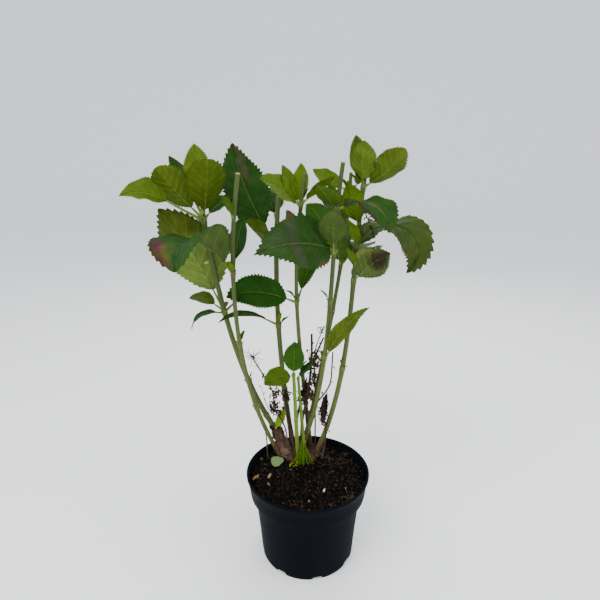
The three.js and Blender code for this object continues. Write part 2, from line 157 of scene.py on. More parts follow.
# Height up to which a cane's foot is brown, on most canes and on single ones
WOODY_FOOT = 150
WOODY_TO = {3: 225, 4: 285, 6: 215}
# The pith of a cut top, as a share of its radius and below its rim, and the size of a bud
PITH_SHARE = 0.62
PITH_DEPTH = 0.5
BUD_RADII = (1.7, 3.4)
# Share of a cane's length up to which its nodes bear no small leaves
BARE_FOOT = 0.25

LEAF_FIELDS = "at heading rise stalk long wide tint droop sweep roll twist fold tip marks"
Leaf = namedtuple("Leaf", LEAF_FIELDS, defaults=(0, 0, 0, 0, 10, WIDEST_FALL, ""))

# Leaves of each cane: the place along the cane, heading, rise, stalk, blade length and width, tint,
# then droop, sweep, roll, twist, fold, how fast the tip narrows, and marks where the leaf has them
LEAVES = (
    (
        Leaf(0.985, 196, 30, 54, 60, 42, "lit", droop=54, roll=44, fold=22, tip=1.15),
        Leaf(0.99, 206, 47, 22, 66, 54, "light", droop=-8, roll=-45, tip=0.55),
        Leaf(0.99, 294, 55, 16, 72, 54, "shaded", droop=-14, fold=15, tip=0.55),
        Leaf(1.0, 112, 68, 30, 74, 40, "lit", fold=20),
        Leaf(1.0, 150, 58, 30, 68, 22, "dark", droop=10, roll=50, fold=20),
        Leaf(0.99, 25, 46, 12, 38, 24, "deep", droop=30, roll=-40, fold=15),
        Leaf(0.985, 100, 52, 24, 60, 42, "mid", droop=10),
        Leaf(0.96, 120, 5, 30, 72, 46, "mid", droop=35),
        Leaf(0.615, 203, 66, 36, 136, 88, "olive", droop=14, roll=-60, marks="aged_and_shaded"),
        Leaf(0.615, 148, 22, 20, 54, 24, "light", droop=45, roll=30, fold=15),
        Leaf(0.605, 225, 18, 12, 54, 18, "dark", droop=105, sweep=-50, roll=10, marks="tip"),
        Leaf(0.61, 60, 20, 26, 74, 44, "mid", droop=30),
    ),
    (
        Leaf(
            0.695, 211, 53, 22, 128, 90, "grey",
            droop=119, sweep=70, roll=-10, fold=20, tip=0.8, marks="blush",
        ),
        Leaf(0.695, 54, 76, 20, 62, 27, "dark", droop=10, roll=-20),
        Leaf(0.86, 250, 55, 10, 34, 14, "mid", droop=20, fold=15),
    ),
    (
        Leaf(0.505, 219, 32, 30, 86, 13, "mid", droop=58, roll=30),
        Leaf(0.81, 170, 60, 38, 128, 68, "dark", droop=-20, sweep=-10, roll=80, marks="purple"),
        Leaf(0.81, 222, 42, 4, 66, 48, "fresh", droop=12, roll=45),
        Leaf(0.81, 65, 30, 30, 90, 56, "dark", droop=55, sweep=10),
        Leaf(0.9, 110, 45, 20, 70, 42, "dark", droop=30),
    ),
    (
        Leaf(0.56, 197, 25, 18, 92, 54, "deep", droop=45, roll=55),
        Leaf(0.56, 48, 62, 22, 90, 30, "mid", droop=20, sweep=20, roll=-10, fold=15),
        Leaf(0.9, 216, 40, 10, 66, 46, "fresh", droop=26, roll=50),
        Leaf(0.72, 238, 74, 10, 66, 48, "grey", roll=30, tip=0.6, marks="browned"),
        Leaf(0.9, 175, 62, 10, 52, 34, "fresh", droop=-10, roll=30),
        Leaf(0.91, 90, 60, 10, 54, 24, "fresh", roll=10, fold=20),
        Leaf(0.91, 345, 38, 10, 50, 26, "fresh", roll=20),
    ),
    (
        Leaf(0.34, 308, 62, 24, 104, 26, "light", droop=25, sweep=35, roll=50),
        Leaf(0.72, 218, 18, 8, 118, 82, "grey", droop=42, sweep=-15, roll=55, tip=1.35, marks="bronze"),
        Leaf(0.7, 262, 50, 26, 54, 42, "grey", droop=-20),
        Leaf(0.74, 154, 57, 16, 52, 46, "mid", droop=20, roll=30),
        Leaf(0.84, 238, 36, 12, 52, 38, "mid", droop=10),
        Leaf(0.845, 325, 24, 12, 86, 54, "dark", droop=115, roll=20, twist=-70, marks="scorched"),
    ),
    (
        Leaf(0.93, 160, 30, 14, 54, 30, "fresh", roll=45),
        Leaf(0.93, 40, 36, 20, 70, 44, "mid", droop=30),
        Leaf(0.66, 250, 50, 12, 62, 44, "deep"),
        Leaf(0.8, 230, 60, 14, 66, 46, "mid", droop=10, roll=20),
        Leaf(0.66, 95, 38, 30, 96, 58, "mid", droop=60),
        Leaf(0.66, 48, 30, 26, 80, 46, "mid", droop=60, sweep=20),
        Leaf(0.8, 140, 50, 20, 66, 40, "dark", droop=20),
    ),
    (
        Leaf(0.95, 125, 76, 12, 64, 34, "light", roll=20, fold=20),
        Leaf(0.95, 255, 55, 16, 60, 40, "lit", droop=4, sweep=19, roll=10, fold=20),
        Leaf(0.955, 331, 32, 11, 66, 46, "light", droop=-28, roll=35, tip=0.55),
        Leaf(0.77, 325, 55, 6, 146, 60, "dull", droop=198, sweep=30, roll=60, twist=-180, marks="bitten"),
        Leaf(0.66, 330, 48, 10, 62, 54, "dull", droop=20, roll=60, marks="withered"),
        Leaf(0.83, 235, 62, 10, 62, 34, "fresh", roll=-20),
        Leaf(0.76, 46, 32, 28, 88, 52, "mid", droop=60, sweep=-10),
        Leaf(0.73, 50, 20, 16, 56, 34, "dark", droop=40, roll=10),
    ),
)

# Small leaves of single canes, besides those at the nodes
SMALL_LEAVES = {
    7: (Leaf(0.77, 228, 58, 6, 44, 32, "fresh", roll=10), Leaf(0.7, 220, 64, 5, 32, 18, "fresh")),
}

# Light green growth by the foot
SHOOTS = (
    Cane(
        (-14, 34, 126), (-18, 32, 180), (-19, 30, 230), (-22, 26, 290),
        widths=(5, 3.4), nodes=(0.5, 0.98), cut=False,
    ),
    Cane(
        (-3, 41, 132), (-8, 38, 180), (-11, 37, 230), (-15, 33, 280),
        widths=(4.2, 2.8), nodes=(0.6, 0.98), cut=False,
    ),
)
SHOOT_LEAVES = (
    (
        Leaf(0.99, 80, 74, 4, 46, 34, "mid", droop=-6),
        Leaf(0.97, 204, 12, 6, 44, 36, "light", droop=50, roll=30),
    ),
    (Leaf(0.99, 4, 50, 4, 34, 20, "deep", droop=10, roll=-14),),
)
SHOOT_SWELL = 1.5

# The tuft of thin new leaves, and the new leaf on the stump
TUFT_CENTRE = (-7, 26)
TUFT_SPREAD = (18, 5)
TUFT_STEM = (2, 1.2)
TUFT_HEIGHT = 52
TUFT_MEET = (24, 50)
TUFT_BLADES = 9
TUFT_EXTRA = 22
TUFT_CURLS = 14
SPROUT_FOOT = (-51, 44.5, 184.3)
SPROUT = Leaf(0, 8, 66, 3, 48, 14, "sprig", roll=-75, tip=1.9)

# Dry remains: places that each twig passes, widths, and how many scraps it carries
DRY_TWIGS = {
    "dry_stem_middle": (
        ((-10, 52, 130), (-9, 49, 190), (0, 45, 242), (6, 46, 300), (6, 46, 346)), (5, 3.6), 9
    ),
    "dry_twig_behind": (((14, 82, 126), (14, 82, 200), (12, 74, 300), (26, 66, 352)), (3.2, 1.6), 3),
    "dry_twig_left": (
        ((-24, 36, 130), (-31, 37, 160), (-37, 40, 190), (-53, 40, 226), (-57, 42, 254), (-86, 46, 306)),
        (2.8, 2.2),
        5,
    ),
    "dry_twig_centre": (
        ((-17, 36, 130), (-24, 34, 165), (-32, 36, 200), (-36, 38, 240), (-50, 38, 262)), (3, 1.8), 5
    ),
    "dry_twig_right": (((24, 42, 126), (30, 42, 170), (28, 42, 200), (31, 42, 250)), (3, 1.6), 7),
    "dry_twig_front": (((-66, 48, 126), (-68, 47, 170), (-77, 46, 214)), (2.6, 1.4), 0),
}
TWIG_STEPS = 60
SCRAP_TONES = ("40332a", "50402f", "5e4c3a", "30261f")
# Dried heads on the twigs: centre, reach each way, number of bits, their size and their tone
HEADS = {
    "dry_stem_middle": (
        ((-3, 50, 242), (11, 7, 15), 64, 8, "3c3028"),
        ((3, 43, 246), (8, 4, 14), 16, 4.5, "5a4432"),
        ((12, 47, 304), (8, 6, 17), 34, 6, "5c4a3c"),
        ((9, 48, 268), (7, 5, 14), 26, 5, "4a3b30"),
    ),
    "dry_twig_left": (
        ((-53, 39, 226), (6, 5, 10), 24, 6, "433528"),
        ((-52, 39, 250), (8, 5, 12), 16, 5, "4c3e32"),
    ),
    "dry_twig_centre": (
        ((-33, 35, 247), (3.5, 3.5, 9), 22, 7, "3c3028"),
        ((-38, 37, 226), (3, 3, 8), 7, 4, "4c3e32"),
    ),
    "dry_twig_right": (((25, 42, 216), (6, 5, 25), 46, 5, "4e3c32"),),
    "dry_twig_behind": (((22, 68, 345), (6, 5, 10), 8, 3.5, "4a3024"),),
}
# Side twigs: places, radii and number of scraps
SIDE_TWIGS = {
    "dry_stem_middle": (
        (((1, 44, 212), (20, 42, 238), (35, 40, 264), (38, 40, 296), (39, 42, 318)), (1.5, 1.1), 2),
        (((-19, 50, 138), (-18, 49, 180), (-13, 48, 222), (-4, 48, 246)), (2.1, 1.5), 0),
        (((5, 46, 296), (13, 48, 312), (25, 52, 338)), (1.5, 1.4), 3),
        (((-12, 47, 236), (-14, 46, 258), (-13, 46, 282)), (1.0, 0.6), 0),
    ),
    "dry_twig_left": ((((-44, 38, 208), (-62, 38, 222), (-74, 40, 262)), (0.9, 0.4), 3),),
}
# Withered leaf that hangs rolled up on the right: its top, heading, rise, length and width
ROLLED_TOP = (29.5, 42, 246)
ROLLED_WAY = (180, -83)
ROLLED_SIZE = (56, 12.5)
# Dry curl under a leaf on the right: the places that it passes
DRY_CURL = ((76, 24, 546), (79, 20, 530), (86, 19, 516), (92, 20, 500))
# Bare flower stalks at the end of the left twig: their centre, number, and shortest and longest
SPIDER_HEAD = (-85.5, 46, 308)
SPIDER_STALKS = 15
SPIDER_REACH = (9, 17)

# What lies on the soil: the fallen leaf, and single light chips with their place, length and colour
FALLEN_PLACE = (-52, 17)
LIGHT_CHIPS = (
    (-60, -1, 10, "927055"),
    (-60, -22, 6, "7d6450"),
    (24, -36, 6, "d8cfc0"),
    (-81, -7, 12, "77603c"),
    (-78, -1, 8, "5e4a34"),
)
MOSS_CENTRE = (60, -53)
MOSS_SPREAD = (7, 8)

# Camera, in metres, degrees and millimetres of lens and sensor
CAMERA_PLACE = (-0.012, -0.6124, 0.5756)
CAMERA_TILT = 14.9
CAMERA_LENS = 27
CAMERA_SENSOR = 36

# Soft lights, in metres: place, size, and strength as a share of the main one's
LIGHTS = {
    "key": ((-0.9, -1.1, 1.9), 1.6, 1),
    "fill": ((1.5, -0.6, 1.0), 1.6, 0.35),
    "back": ((0.3, 1.4, 1.6), 1.4, 0.4),
}
LIGHT_AIM = (0, 0, 0.35)
STUDIO_COLOUR = (0.88, 0.9, 0.93, 1)
STUDIO_STRENGTH = 1.4

# The floor, in metres: its reach to front and back, its height at the back, half its width, and the
# radius of the bend between
FLOOR_REACH = 9.0
FLOOR_HEIGHT = 9.0
FLOOR_HALF_WIDTH = 14.0
FLOOR_BEND = 3.0

# Finishes of a blade's upper side and underside, and the two colours of each leaf tint
BLADE_SKINS = ("leaf_upper", "leaf_under")
TINTS = {
    "new": ("527612", "5d831c"),
    "sprig": ("6f8c1a", "7a9426"),
    "shoot": ("4a6a20", "56742a"),
    "fresh": ("425a06", "4b6408"),
    # painted light and painted shade: lit and shaded are lighter and darker copies of light
    "lit": ("475c0c", "566c1e"),
    "light": ("394e08", "455812"),
    "shaded": ("2f4205", "3a4c0a"),
    "mid": ("234606", "3b5512"),
    "olive": ("30400a", "405214"),
    "deep": ("153c05", "324e10"),
    "dark": ("1b3a0c", "30481c"),
    "grey": ("213e12", "3a4e20"),
    "dull": ("2f3f15", "415326"),
    "pale": ("62794c", "6a805a"),
}
# Marks of each kind: place along and across the blade, reach each way, colour and strength
MARKS = {
    "aged_and_shaded": (
        (0.25, 0.0, 0.4, 1.4, "58702f", 0.85),
        # painted shade: dark olive over the blade's far half, where it lies in shade
        (0.88, 0.0, 0.3, 1.4, "33400a", 0.7),
        (0.8, -0.35, 0.16, 0.3, "4a5212", 0.5),
        (0.8, 1.0, 0.12, 0.2, "46302a", 0.5),
        (0.3, -0.25, 0.012, 0.035, "c9c48e", 0.9),
    ),
    "tip": ((1.0, 0.0, 0.12, 1.0, "3c3220", 0.8),),
    "blush": (
        (0.76, 0.6, 0.09, 0.26, "54183a", 0.85),
        (0.88, 0.6, 0.1, 0.35, "4c2822", 0.7),
        (0.78, 0.35, 0.14, 0.3, "46541a", 0.6),
        (0.72, 0.0, 0.25, 0.4, "1c4224", 0.6),
        (0.9, 1.0, 0.3, 0.2, "33231a", 0.9),
    ),
    "purple": (
        (0.72, 0.25, 0.2, 0.25, "4a3a30", 0.4),
        (0.92, 0.6, 0.16, 0.25, "4c3a30", 0.5),
        (0.45, -1.0, 0.12, 0.2, "2e1a14", 0.9),
        (0.98, 0.0, 0.05, 0.6, "35281c", 0.7),
    ),
    "bronze": (
        (0.5, 0.0, 0.07, 1.4, "34332e", 0.5),
        (0.75, 0.2, 0.2, 0.7, "2f3d26", 0.5),
        (0.55, 1.0, 0.06, 0.2, "3a3a22", 0.5),
        (0.3, -0.5, 0.05, 0.1, "33281c", 0.85),
        (0.2, -0.95, 0.1, 0.12, "5a4630", 0.7),
    ),
    "scorched": (
        (0.55, 0.95, 0.3, 0.2, "2a1812", 0.9),
        (0.95, 0.0, 0.1, 0.6, "4c3a24", 0.4),
        (0.4, 0.0, 0.3, 0.2, "4e4238", 0.5),
    ),
    "browned": (
        (1.0, 0.0, 0.14, 1.2, "4e3a22", 0.85),
        (0.6, 0.3, 0.3, 0.12, "3a3020", 0.5),
    ),
    "bitten": (
        (0.85, 0.9, 0.2, 0.2, "4a3f2a", 0.6),
        (1.0, 0.0, 0.06, 1.0, "3f3324", 0.7),
    ),
    "withered": (
        (0.66, -0.15, 0.27, 0.65, "241410", 0.98),
        (0.8, 0.4, 0.2, 0.4, "33241a", 0.7),
        (0.4, 0.9, 0.3, 0.2, "6c7430", 0.7),
        (1.0, 0.0, 0.15, 1.0, "38200f", 0.8),
    ),
}

# Colours of stems, dead matter, cut wood and wear
COLOURS = {
    "stem streak": "343a1a",
    "stem spot": "5b3f27",
    "wood crack": "120a06",
    "pot dust": "0f151d",
    "pot scuff": "4c5359",
    "pot grain": "4a515a",
    "soil patch": "3a2a1e",
    "dead root": "3a2b25",
    "soil fibre": "4e3e32",
    "moss": "464a2c",
    "crown": "4e3b2e",
    "cane spur foot": "2a1c14",
    "cane spur top": "6e5e3e",
    "stump foot": "86705e",
    "stump top": "40302a",
    "stump fray": "2c1e18",
    "stump fibre": "6b4a33",
    "woody foot": "4c3c2a",
    "node ring": "6d6a34",
    "cut rim": "7a5a3a",
    "pith": "c9a57a",
    "bud": "64822c",
    "shoot foot": "6d8630",
    "shoot top": "5f7c22",
    "tuft stem": "66802c",
    "cane stalk": "6c8034",
    "shoot stalk": "6f8a30",
    "sprout stalk": "7f9a34",
    "rolled leaf": "46342e",
    "flower stalk": "4a3426",
    "flower tip": "2c1a12",
    "flower centre": "5a3c2a",
    "twig foot": "54443a",
    "twig end": "3a2d26",
    "side twig": "4c382e",
    "scrap stalk": "543a28",
    "curl": "3c3028",
    "curl scrap": "40302c",
}
# Dark and pale colour of each kind of crumb
SOIL_TINTS = {
    "peat": ("030202", "110c0a"),
    "bark_chip": ("080605", "30261f"),
    "fleck": ("2c2520", "6e6056"),
    "pale_chip": ("7d664e", "a58d70"),
}


def linear(code):
    """A colour written as six hex digits, as linear values."""
    values = [int(code[i : i + 2], 16) / 255 for i in (0, 2, 4)]
    return np.array([v / 12.92 if v <= 0.04045 else ((v + 0.055) / 1.055) ** 2.4 for v in values])


def colour_of(name):
    """One of the plant's named colours, as linear values."""
    return linear(COLOURS[name])


def between(ends, share):
    """The value at a share of the way from one end to the other."""
    return ends[0] + (ends[1] - ends[0]) * share


def unit(vectors):
    """The vectors, each brought to length one."""
    return vectors / np.linalg.norm(vectors, axis=-1, keepdims=True)


def any_way(chance):
    """A direction drawn evenly from all round."""
    return unit(np.array([chance.gauss(0, 1) for _ in range(3)]))


def ripple(points, size, seed=0.0):
    """A soft noise from -1 to 1 at points in millimetres, with bumps of about the given size."""
    x, y, z = (points / size * 2.2).T
    return (
        np.sin(x * 1.3 + 1.7 * y + seed)
        + np.sin(1.9 * y - 1.1 * z + 2.3 * seed)
        + np.sin(1.6 * z + 1.2 * x + 3.1 * seed)
        + 0.6 * np.sin(3.1 * x - 2.3 * z + seed)
        + 0.6 * np.sin(2.9 * y + 2.7 * x + 5 * seed)
    ) / 4.2


def level(turn):
    """The level direction at a turn in radians."""
    return np.array([math.cos(turn), math.sin(turn), 0])


# Pieces


def added(name, data):
    """A new object in the scene."""
    ob = bpy.data.objects.new(name, data)
    bpy.context.scene.collection.objects.link(ob)
    return ob


class Skin:
    """The points, faces, colours and maps of one piece, gathered part by part, in millimetres."""

    def __init__(self):
        self.points = []
        self.faces = []
        self.colours = []
        self.maps = []
        self.kinds = []
        self.cells = []
        self.plans = []
        self.sharp = []
        self.count = 0

    def add(self, points, faces, colours, maps=None, plans=None, kind=0, cell=-1, sharp=()):
        """Adds a part. Its kind is its material's number, and its cell its place in the second map."""
        points = np.asarray(points, float)
        n = len(points)
        self.points.append(points)
        self.faces += [tuple(int(v) + self.count for v in face) for face in faces]
        self.colours.append(np.broadcast_to(colours, (n, 3)))
        self.maps.append(np.zeros((n, 2)) if maps is None else maps)
        self.plans.append(np.zeros((n, 2)) if plans is None else plans)
        self.kinds += list(np.broadcast_to(kind, len(faces)))
        self.cells += list(np.broadcast_to(cell, len(faces)))
        self.sharp += [(a + self.count, b + self.count) for a, b in sharp]
        self.count += n

    def piece(self, name, finishes, slot, nodes=()):
        """Makes the gathered parts one object that rides on the plant and stands for some nodes."""
        mesh = bpy.data.meshes.new(name)
        mesh.from_pydata((np.concatenate(self.points) * MM).tolist(), [], self.faces)
        for finish in finishes:
            mesh.materials.append(material(finish))
        mesh.polygons.foreach_set("material_index", np.array(self.kinds, np.int32))
        mesh.polygons.foreach_set("use_smooth", np.ones(len(self.faces), bool))
        colours = np.ones((self.count, 4), np.float32)
        colours[:, :3] = np.concatenate(self.colours)
        tint = mesh.attributes.new("tint", "FLOAT_COLOR", "POINT")
        tint.data.foreach_set("color", colours.ravel())
        corners = np.zeros(len(mesh.loops), np.int32)
        mesh.loops.foreach_get("vertex_index", corners)
        maps = mesh.uv_layers.new(name="leaf_map")
        maps.uv.foreach_set("vector", np.concatenate(self.maps)[corners].astype(np.float32).ravel())
        if max(self.cells) >= 0:
            self.lay_out(mesh, corners)
        if self.sharp:
            self.mark_sharp(mesh)
        mesh.update()
        return dress(added(name, mesh), nodes)

    def lay_out(self, mesh, corners):
        """A second map in which each side of each leaf has a cell of its own."""
        cells = np.array(self.cells)
        across = math.ceil(math.sqrt(cells.max() + 1))
        sizes = np.zeros(len(mesh.polygons), np.int32)
        mesh.polygons.foreach_get("loop_total", sizes)
        cell = np.repeat(cells, sizes)
        corner = np.stack([cell % across, cell // across], axis=-1)
        plan = np.concatenate(self.plans)[corners]
        bake = mesh.uv_layers.new(name="OFBake")
        bake.uv.foreach_set("vector", ((corner + plan) / across).astype(np.float32).ravel())

    def mark_sharp(self, mesh):
        """Keeps the blades' margins crisp under the smooth shading."""
        ends = np.zeros(len(mesh.edges) * 2, np.int32)
        mesh.edges.foreach_get("vertices", ends)
        ends = np.sort(ends.reshape(-1, 2), axis=1).astype(np.int64)
        codes = ends[:, 0] * self.count + ends[:, 1]
        wanted = np.sort(np.array(self.sharp, np.int64), axis=1)
        sharp = np.isin(codes, wanted[:, 0] * self.count + wanted[:, 1])
        mesh.edges.foreach_set("use_edge_sharp", sharp)


def dress(ob, nodes=()):
    """Lets a finished piece ride on the plant, and hides the nodes that it stands for."""
    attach(ob, BODY)
    if nodes:
        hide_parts(*nodes)
    return ob


def bezier(cane, shares):
    """Places on a cane at shares of its curve."""
    t = np.asarray(shares, float)[:, None]
    foot, low, high, top = (np.array(p, float) for p in (cane.foot, cane.low, cane.high, cane.top))
    return (1 - t) ** 3 * foot + 3 * (1 - t) ** 2 * t * low + 3 * (1 - t) * t * t * high + t**3 * top


def spline(places, steps):
    """Points evenly spread along a smooth line through the places."""
    places = np.array(places, float)
    ends = np.vstack([2 * places[0] - places[1], places, 2 * places[-1] - places[-2]])
    line = []
    for i in range(len(places) - 1):
        a, b, c, d = ends[i : i + 4]
        square, cube = 2 * a - 5 * b + 4 * c - d, 3 * b - a - 3 * c + d
        for t in np.linspace(0, 1, 12, endpoint=False):
            line.append(0.5 * (2 * b + (c - a) * t + square * t**2 + cube * t**3))
    line = np.array(line + [places[-1]])
    gone = np.concatenate([[0], np.cumsum(np.linalg.norm(np.diff(line, axis=0), axis=1))])
    wanted = np.linspace(0, gone[-1], steps + 1)
    return np.stack([np.interp(wanted, gone, line[:, k]) for k in range(3)], axis=1)


def bands(rows, sides, flip=False):
    """Four-sided faces between rows of points that each go once round."""
    faces = []
    for i in range(rows - 1):
        for j in range(sides):
            a, b = i * sides + j, i * sides + (j + 1) % sides
            faces.append((a, b, b + sides, a + sides) if flip else (a, a + sides, b + sides, b))
    return faces


def tube(skin, line, radii, colours, sides=12, ridges=0.0, seed=0.0, cap=None):
    """A closed round stem along a line of points. A cap is the colours of a cut end's rim and pith."""
    line = np.asarray(line, float)
    along = unit(np.gradient(line, axis=0))
    across = unit(np.cross((0, 1, 0), along))
    upward = np.cross(across, along)
    turns = np.linspace(0, 2 * np.pi, sides, endpoint=False)
    spread = across[:, None] * np.cos(turns)[:, None] + upward[:, None] * np.sin(turns)[:, None]
    radii = np.broadcast_to(radii, len(line))[:, None] * np.ones(sides)
    if ridges:
        rough = ripple((line[:, None] * (1, 1, 0.25) + spread * 6).reshape(-1, 3), 3.0, seed)
        radii = radii * (1 + ridges * rough.reshape(radii.shape))
    points = (line[:, None] + spread * radii[..., None]).reshape(-1, 3)
    colours = np.repeat(np.broadcast_to(colours, (len(line), 3)), sides, axis=0)
    rows = len(line)
    faces = bands(rows, sides)
    last = (rows - 1) * sides
    if cap is None:
        faces.append(tuple(last + j for j in range(sides))[::-1])
    else:
        # a cut end: a rim, then the paler pith a little lower
        rim, pith = cap
        inner = line[-1] + spread[-1] * radii[-1][:, None] * PITH_SHARE - along[-1] * PITH_DEPTH
        points = np.concatenate([points, inner])
        colours = np.concatenate([colours, np.broadcast_to(pith, (sides, 3))])
        colours[last : last + sides] = rim
        top = rows * sides
        for j in range(sides):
            k = (j + 1) % sides
            faces.append((last + j, top + j, top + k, last + k))
        faces.append(tuple(top + j for j in range(sides))[::-1])
    faces.append(tuple(range(sides)))
    skin.add(points, faces, colours)


def thread(skin, places, steps, ends, colour, sides=5, ridges=0.0):
    """A tube along a smooth line through the places, with its radius at each end. Returns the line."""
    line = spline(places, steps)
    tube(skin, line, np.linspace(*ends, steps + 1), colour, sides=sides, ridges=ridges)
    return line


def bump(skin, centre, radii, axis, colour):
    """A small rounded bud or lump, with its radii across and along its axis."""
    centre = np.asarray(centre)
    axis = unit(np.array(axis, float))
    side = unit(np.cross(axis, (0.3, 1, 0.2)))
    other = np.cross(axis, side)
    rings, sides = 5, 8
    points = [centre - axis * radii[1]]
    for i in range(1, rings):
        angle = math.pi * i / rings
        for k in range(sides):
            turn = 2 * math.pi * k / sides
            out = math.sin(angle) * radii[0] * (1 - 0.3 * i / rings)
            spoke = side * math.cos(turn) + other * math.sin(turn)
            points.append(centre - axis * math.cos(angle) * radii[1] + spoke * out)
    points.append(centre + axis * radii[1])
    faces = []
    for k in range(sides):
        n = (k + 1) % sides
        faces.append((0, 1 + n, 1 + k))
        last = 1 + (rings - 2) * sides
        faces.append((last + k, last + n, len(points) - 1))
        for i in range(rings - 2):
            a = 1 + i * sides
            faces.append((a + k, a + n, a + sides + n, a + sides + k))
    skin.add(points, faces, colour)


# Leaves


def half_width(share, fall):
    """Half the width at a share of a blade's length, where the blade is one wide at its widest."""
    total = WIDEST_RISE + fall
    peak = (WIDEST_RISE / total) ** WIDEST_RISE * (fall / total) ** fall
    return share**WIDEST_RISE * (1 - share) ** fall / peak / 2


def midrib(foot, leaf, steps):
    """Places along a leaf's midrib, with the ways that it runs, spreads and faces there."""

    def ways(share):
        lift = np.radians(leaf.rise - leaf.droop * share**DROOP_POWER)
        turn = np.radians(leaf.heading + leaf.sweep * share)
        along = np.stack([np.cos(lift) * np.cos(turn), np.cos(lift) * np.sin(turn), np.sin(lift)], axis=-1)
        side = np.stack([np.sin(turn), -np.cos(turn), 0 * turn], axis=-1)
        face = np.cross(side, along)
        roll = np.radians(leaf.roll + leaf.twist * share)[:, None]
        return along, side * np.cos(roll) + face * np.sin(roll), face * np.cos(roll) - side * np.sin(roll)

    shares = np.linspace(0, 1, steps + 1)
    along, side, face = ways(shares)
    middle = ways((shares[:-1] + shares[1:]) / 2)[0]
    start = np.asarray(foot, float) + along[0] * leaf.stalk
    places = start + np.concatenate([np.zeros((1, 3)), np.cumsum(middle * leaf.long / steps, axis=0)])
    return shares, places, along, side, face


def margin(leaf, looks, u, v, width, chance):
    """Places across a blade out to its uneven margin, and how far the teeth lean along it."""
    tooth = (u * TEETH) % 1.0
    tooth = np.where(tooth < TOOTH_RISE, tooth / TOOTH_RISE, (1 - tooth) / TOOTH_FALL)
    fade = np.clip(np.minimum(u / 0.15, (1 - u) / 0.06), 0, 1)
    depth = looks.tooth_depth * PER_METRE * min(leaf.wide / TOOTHED_WIDTH, 1.2)
    edge = np.abs(v) >= 0.999
    ways = np.array([chance.uniform(0, WHOLE_TURN) for _ in range(4)])
    left, right = (np.sin(7 * u + ways[k]) + 0.6 * np.sin(17 * u + ways[k + 1]) for k in (0, 2))
    uneven = 1 + 0.035 * np.where(v > 0, right, left)
    slope = np.gradient(width[:, 0], leaf.long / (len(u) - 1))[:, None]
    lean = np.hypot(1, slope)
    bite = edge * (tooth - 0.4) * depth * (1 + 0.3 * np.sin(13 * u + ways[0])) * fade
    return v * width * uneven + np.sign(v) * bite / lean, -bite * slope / lean


def relief(leaf, looks, u, v, x, width, crumple, chance):
    """Height of a blade's swells between the veins, its sunken midrib, waves and crinkles."""
    size = leaf.long / RELIEF_LENGTH
    phase = VEIN_PAIRS * (u - VEIN_SLOPE * np.abs(v) ** 0.9)
    quilt = 0.5 - 0.5 * np.cos(2 * np.pi * phase)
    swell = looks.relief * PER_METRE * size
    height = swell * quilt * (1 - np.abs(v) ** 3) * (1 - u) ** 0.3
    height = height - swell * 0.9 * np.exp(-((v / 0.06) ** 2))
    waves = [chance.uniform(0, WHOLE_TURN) for _ in range(4)]
    away = np.abs(v) ** 2 * np.sin(np.pi * u) * width
    sway = np.where(
        v > 0,
        np.sin(11 * u + waves[0]) + 0.5 * np.sin(23 * u + waves[1]),
        np.sin(10 * u + waves[2]) + 0.5 * np.sin(21 * u + waves[3]),
    )
    height = height + looks.wave * away * sway
    flat = np.stack([u * leaf.long + 0 * x, x, 0 * x], axis=-1).reshape(-1, 3)
    rough = 0.3 * ripple(flat, 7.0, waves[0]) + 0.8 * ripple(flat, 24.0, waves[1])
    rough = rough * (looks.crinkle * PER_METRE * size**0.5) + crumple * ripple(flat, 6.0, waves[2])
    return height + rough.reshape(height.shape) * np.minimum(1, 4 * (np.abs(v) + 0.1))


def quads(grid, flip):
    """Four-sided faces over a grid of point numbers."""
    a, b, c, d = grid[:-1, :-1], grid[:-1, 1:], grid[1:, 1:], grid[1:, :-1]
    order = (a, d, c, b) if flip else (a, b, c, d)
    return np.stack([corner.ravel() for corner in order], axis=1).tolist()


